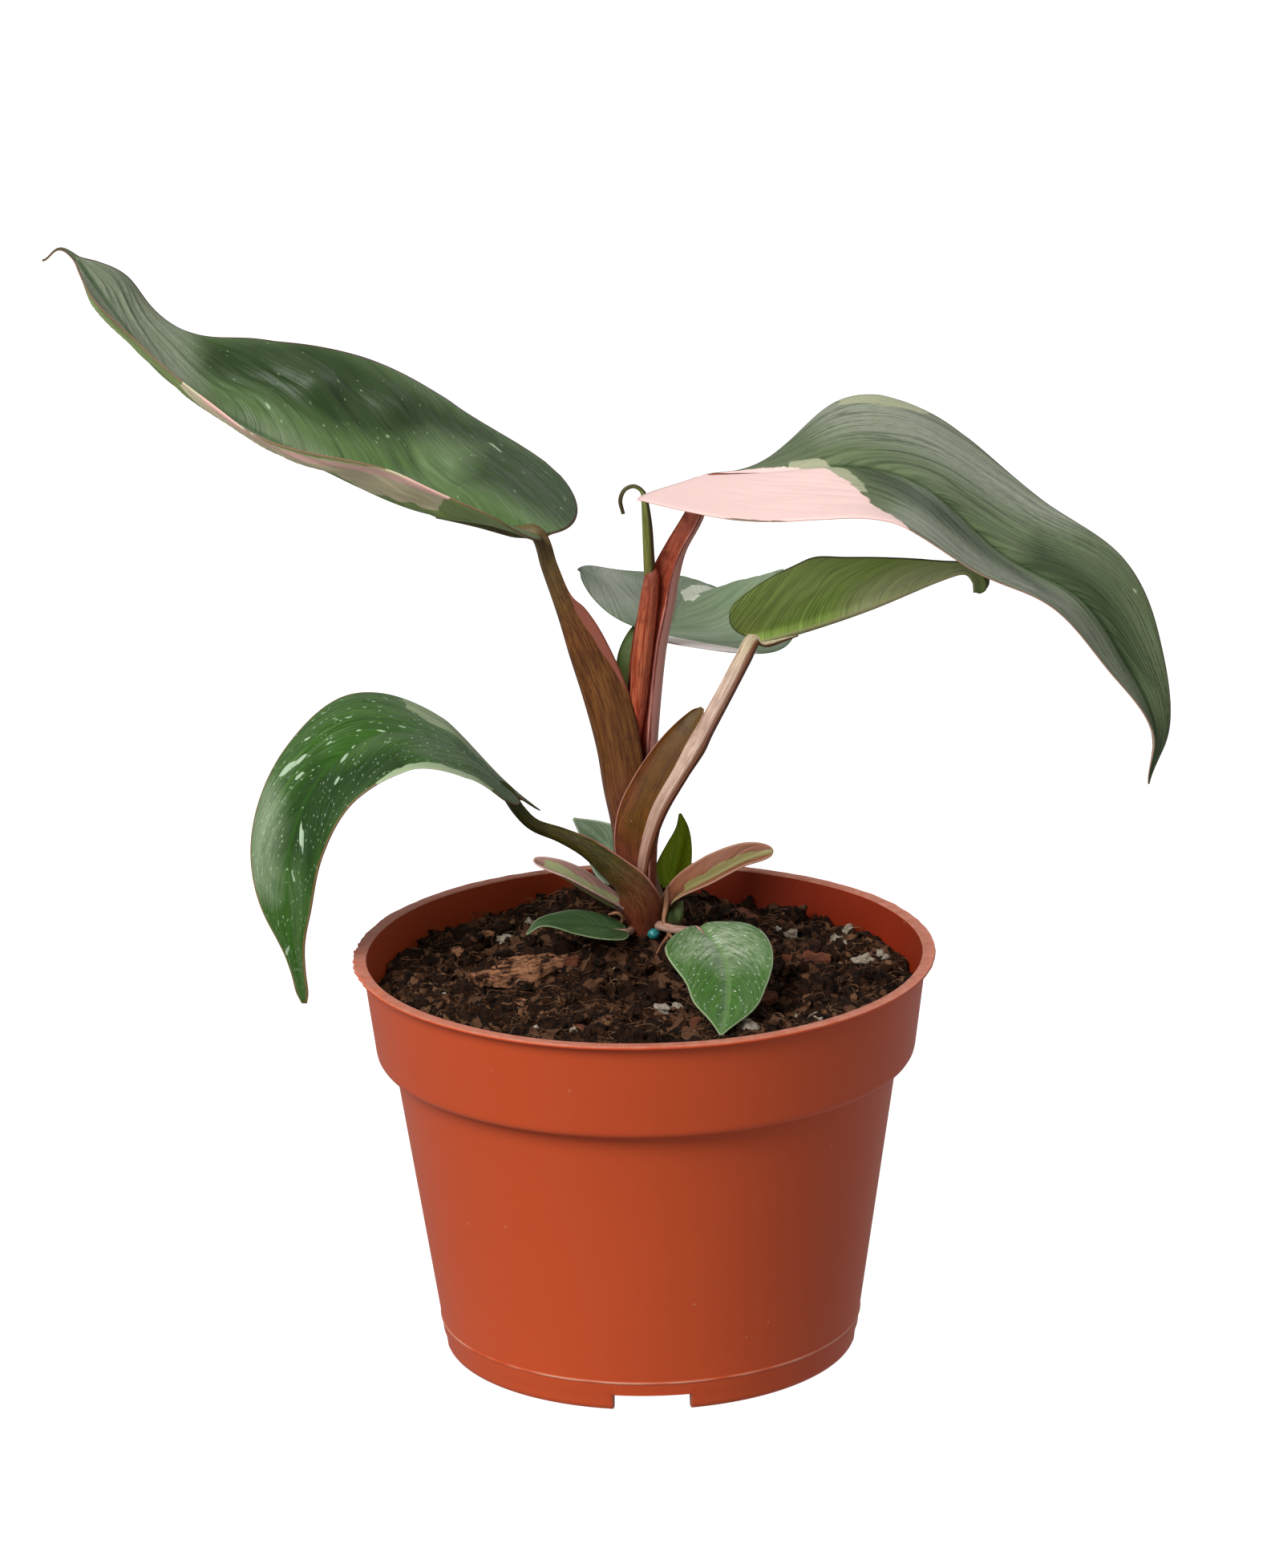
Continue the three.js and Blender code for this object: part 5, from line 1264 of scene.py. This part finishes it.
SIDE_STALKS = {
    "leaf_small_front": [(1.5, 14.5, 76.5, 1), (2.8, 9, 78, 0.9), (5.2, 5.5, 78.4, 0.8),
                         (8, 2.2, 79.2, 0.7), (9.8, -0.6, 80.3, 0.6), (11, -2.6, 79.8, 0.35)],
    "leaf_small_low": [(-2, 14, 76.5, 0.9), (-2.5, 9.5, 76.9, 0.8), (-3.4, 6.6, 77.6, 0.6),
                       (-5.6, 5.2, 78.5, 0.3)],
}
side_stalk = stalk_skin("fleshy_side_stalk", "#A88070", "#BC9A8A", "#7C5648", "#9A6458")
for name, stations in SIDE_STALKS.items():
    shape = stalk(stations, (0, 0, 1), sides=20, rows=40)
    piece(f"{name}_stalk", shape, [side_stalk], name)

# Dry stipules that have come away from the foot, a bud that is just waking, and the stem.
papery = stalk_skin("papery_stipule", "#7A5038", "#A27656", "#42261A", "#5E3A2A", gloss=0.7)
woken = stalk_skin("fleshy_bud", "#5E7440", "#7C8E58", "#455A2E", "#7A6A4C")
stem_skin = stalk_skin("fleshy_stem", "#7A5A3C", "#8C6448", "#52382A", "#6B4E38")
STRANDS = {
    # skin, sides, rows, node, stations
    "dry_stipule": (papery, 14, 40, None, [
        (4.6, 9.6, 85.5, 0.35), (4.2, 8.6, 82, 0.5), (3.7, 7.3, 79.3, 0.4), (4.6, 5.6, 77.5, 0.35),
        (3.2, 4, 75.8, 0.3), (2.2, 2.8, 74.4, 0.2)]),
    "dry_stipule_end": (papery, 14, 40, None, [
        (4.4, 5.8, 77.6, 0.3), (5.2, 4.8, 77, 0.25), (6.2, 4.4, 76, 0.15)]),
    "dry_curl": (papery, 14, 40, None, [
        (-4.5, 8.5, 78.4, 0.35), (-3.9, 7.4, 80.1, 0.35), (-5, 6.6, 81.4, 0.3), (-6.6, 6.8, 81, 0.2)]),
    "waking_bud": (woken, 14, 40, None, [
        (5.2, 12.4, 77, 1.3), (5.9, 12, 79, 1.5), (6.6, 12, 80.6, 1), (7.2, 12, 81.6, 0.3)]),
    "stem_core": (stem_skin, 40, 60, "stem", [
        (0, 19, 60, 3.2), (0, 19, 68, 4.4), (0, 19, 75, 4.9), (0, 19, 79, 4.3), (0, 19, 85.3, 2.6)]),
}
for name, (skin, sides, rows, node, stations) in STRANDS.items():
    piece(name, stalk(stations, (0, -1, 0), sides=sides, rows=rows), [skin], node)

# ---------------------------------------------------------------- the pot and its filling

plastic = moulded_polypropylene("terracotta_polypropylene")
piece("pot_shell", pot_wall(), [plastic], "pot", crease=40)
piece("pot_base", pot_floor(), [plastic], crease=40)

LOOSE = {
    "sphagnum_peat": dict(dark="#0B0502", light="#462813", grain=0.0014, rough=0.95, accent="#8A6044",
                          sharp=(0.4, 0.62)),
    "peat_crumb": dict(dark="#140A04", light="#6C4429", grain=0.002, rough=0.95, accent="#9E7250",
                       sharp=(0.4, 0.62)),
    "peat_fibre": dict(dark="#4A2E1E", light="#A67A56", grain=0.004, rough=0.9),
    "dry_rootlet": dict(dark="#8A684C", light="#B89472", grain=0.004),
    "pine_bark": dict(dark="#2E170B", light="#CC8E66", grain=0.0013, sharp=(0.42, 0.55),
                      stretch=(0.35, 1, 1)),
    "red_bark": dict(dark="#4E2618", light="#9A5C40", grain=0.0016, stretch=(0.4, 1, 1)),
    "expanded_perlite": dict(dark="#A8957A", light="#F6E9D4", grain=0.0009, rough=0.8),
}
loose = {name: loose_matter(name, **look) for name, look in LOOSE.items()}
piece("mix_bed", potting_mix(), [loose["sphagnum_peat"]], "soil")

HEAPS = [
    # piece, matter, count and least and greatest radius (and power), the lumps' own look, crease
    ("mix_crumbs", "peat_crumb", (3000, 0.25, 1.05, 2.2), dict(seed=12, rough=0.9), 70),
    ("mix_small_clods", "sphagnum_peat", (420, 0.8, 1.5), dict(seed=18, rough=0.9), 60),
    ("mix_clods", "sphagnum_peat", (90, 1.3, 2.8), dict(seed=13, rough=1.0, detail=3), None),
]
rng = random.Random(11)
for name, matter, heap, look, crease in HEAPS:
    piece(name, lumps(strewn(rng, *heap), **look), [loose[matter]], crease=crease)
threads = fibres(count=1900, seed=14, longest=4.5, thickness=0.1)
piece("mix_fibres", threads, [loose["peat_fibre"]])
threads = fibres(count=130, seed=16, longest=5.5, thickness=0.1)
piece("mix_rootlets", threads, [loose["dry_rootlet"]])

# The perlite grains that can be told apart, as x, y and radius, and then the small ones.
PERLITE = [(-25.5, 16.5, 1.6), (-21.5, 23, 1.2), (28, 25.5, 1.3), (36.5, 22.5, 1.9), (41, 10.5, 1.5),
           (44.5, 14, 1.5), (38.5, 27, 1.2), (31, -20, 1.5), (18.5, -26, 1.8), (3, -17, 1.2),
           (6, -13, 1.1)]
grains = [(*on_mix(x, y, lift=0.4), radius) for x, y, radius in PERLITE]
grains += strewn(rng, 46, 0.25, 0.55)
shape = lumps(grains, seed=15, rough=0.8, detail=3)
piece("perlite_grains", shape, [loose["expanded_perlite"]])

BARK_AT, BARK_LIFT = (-23.5, 1.5), 1.9
at = (*BARK_AT, float(soil_height(*BARK_AT)) + BARK_LIFT)
shape = chip(at, size=(18.5, 7, 1.9), turn=0.3, tilt=-0.12, seed=3.3, cuts=22)
piece("bark_flake", shape, [loose["pine_bark"]], "bark_chip", crease=60)

BARK_BITS = [
    # place, size, turn, matter
    ((30.5, 13), (9, 5, 1.4), -0.2, "red_bark"),
    ((-30, 20), (4, 2.4, 0.9), 0.6, "pine_bark"),
    ((-35, 15), (3.5, 2.2, 0.8), 1.4, "pine_bark"),
    ((-14, 3), (4.5, 2.6, 1), -0.7, "red_bark"),
    ((-24, -9), (4, 2.5, 0.9), 0.2, "pine_bark"),
    ((9, -24), (4, 2.4, 0.9), 1.1, "red_bark"),
    ((22, -10), (5, 2.6, 1), 0.5, "red_bark"),
    ((-2, 35), (7, 3.4, 1.2), 0.1, "red_bark"),
    ((20, 33), (6, 3, 1), 2.1, "red_bark"),
    ((-12, -22), (4.4, 2.6, 0.9), 1.9, "red_bark"),
]
for n, (spot, size, turn, matter) in enumerate(BARK_BITS):
    shape = chip(on_mix(*spot, lift=0.5), size, turn, tilt=0.1, seed=20.5 + 3 * n, cuts=9)
    piece(f"bark_bit_{n + 1}", shape, [loose[matter]], crease=60)

PRILL_AT, PRILL_RADIUS = (1.8, 9.4), 1.5
at = (*PRILL_AT, float(soil_height(*PRILL_AT)) + 0.5, PRILL_RADIUS)
shape = lumps([at], seed=17, rough=0.12, detail=4, flat=1)
resin = resin_coated_prill("resin_coated_prill")
piece("fertiliser_bead", shape, [resin], "fertiliser_prill")

# ---------------------------------------------------------------- studio

# In metres: the sweep's half size, the dome's radius, and the floor's depth below the pot's foot.
SWEEP, DOME, CLEARANCE = 8, 7, 0.0001
WORLD_STRENGTH = 0.35
LIGHTS = {
    # place, what it is aimed at, size, power in watts
    "key_light": ((-1.05, -1.35, 1.5), (0, 0, 0.08), 1.0, 47),
    "rim_light": ((0.9, 1.3, 1.2), (0, 0, 0.1), 0.9, 4),
}
CAMERA = dict(place=(0.006, -1.1765, 0.46), tilt=73, twist=-1, lens=150, sensor=36, far=20)


def white_backdrop():
    """Seamless white studio paper, which glows evenly so that no shadow or fold shows in it."""
    made, add = start("white_sweep")
    glow = {"Emission Color": "#FFFFFF", "Emission Strength": 1.0}
    look = {"Base Color": "#8C8C8C", "Roughness": 1.0}
    add("OutputMaterial", {"Surface": add("BsdfPrincipled", look | glow)})
    return made


def backdrop(name, shape, paper):
    """A part of the studio's white surround, which is seen but casts no light on the plant."""
    made = solid(name, shape, [paper])
    made.visible_diffuse = made.visible_glossy = made.visible_shadow = False


def softbox(name, at, aim, size, power):
    """A square soft light that faces the place it is aimed at."""
    lamp = bpy.data.lights.new(name, "AREA")
    lamp.shape = "SQUARE"
    lamp.size = size
    lamp.energy = power
    made = in_scene(name, lamp)
    made.location = at
    made.rotation_euler = (Vector(aim) - Vector(at)).to_track_quat("-Z", "Y").to_euler()


paper = white_backdrop()
shape = bmesh.new()
ground = Matrix.Translation((0, 0, -CLEARANCE))
bmesh.ops.create_grid(shape, x_segments=1, y_segments=1, size=SWEEP, matrix=ground)
backdrop("studio_floor", shape, paper)
shape = bmesh.new()
bmesh.ops.create_icosphere(shape, subdivisions=4, radius=DOME)
backdrop("studio_dome", shape, paper)

world = bpy.data.worlds.new("studio")
bpy.context.scene.world = world
world.use_nodes = True
sky = world.node_tree.nodes["Background"].inputs
sky["Color"].default_value = linear("#FFFFFF")
sky["Strength"].default_value = WORLD_STRENGTH
for name, light in LIGHTS.items():
    softbox(name, *light)

camera = bpy.data.cameras.new("camera")
camera.lens = CAMERA["lens"]
camera.sensor_width = CAMERA["sensor"]
camera.clip_end = CAMERA["far"]
eye = in_scene("camera", camera)
tilt = Matrix.Rotation(math.radians(CAMERA["tilt"]), 4, "X")
twist = Matrix.Rotation(math.radians(CAMERA["twist"]), 4, "Z")
eye.matrix_world = Matrix.Translation(CAMERA["place"]) @ (tilt @ twist)
bpy.context.scene.camera = eye
bpy.context.scene.view_settings.view_transform = "Standard"
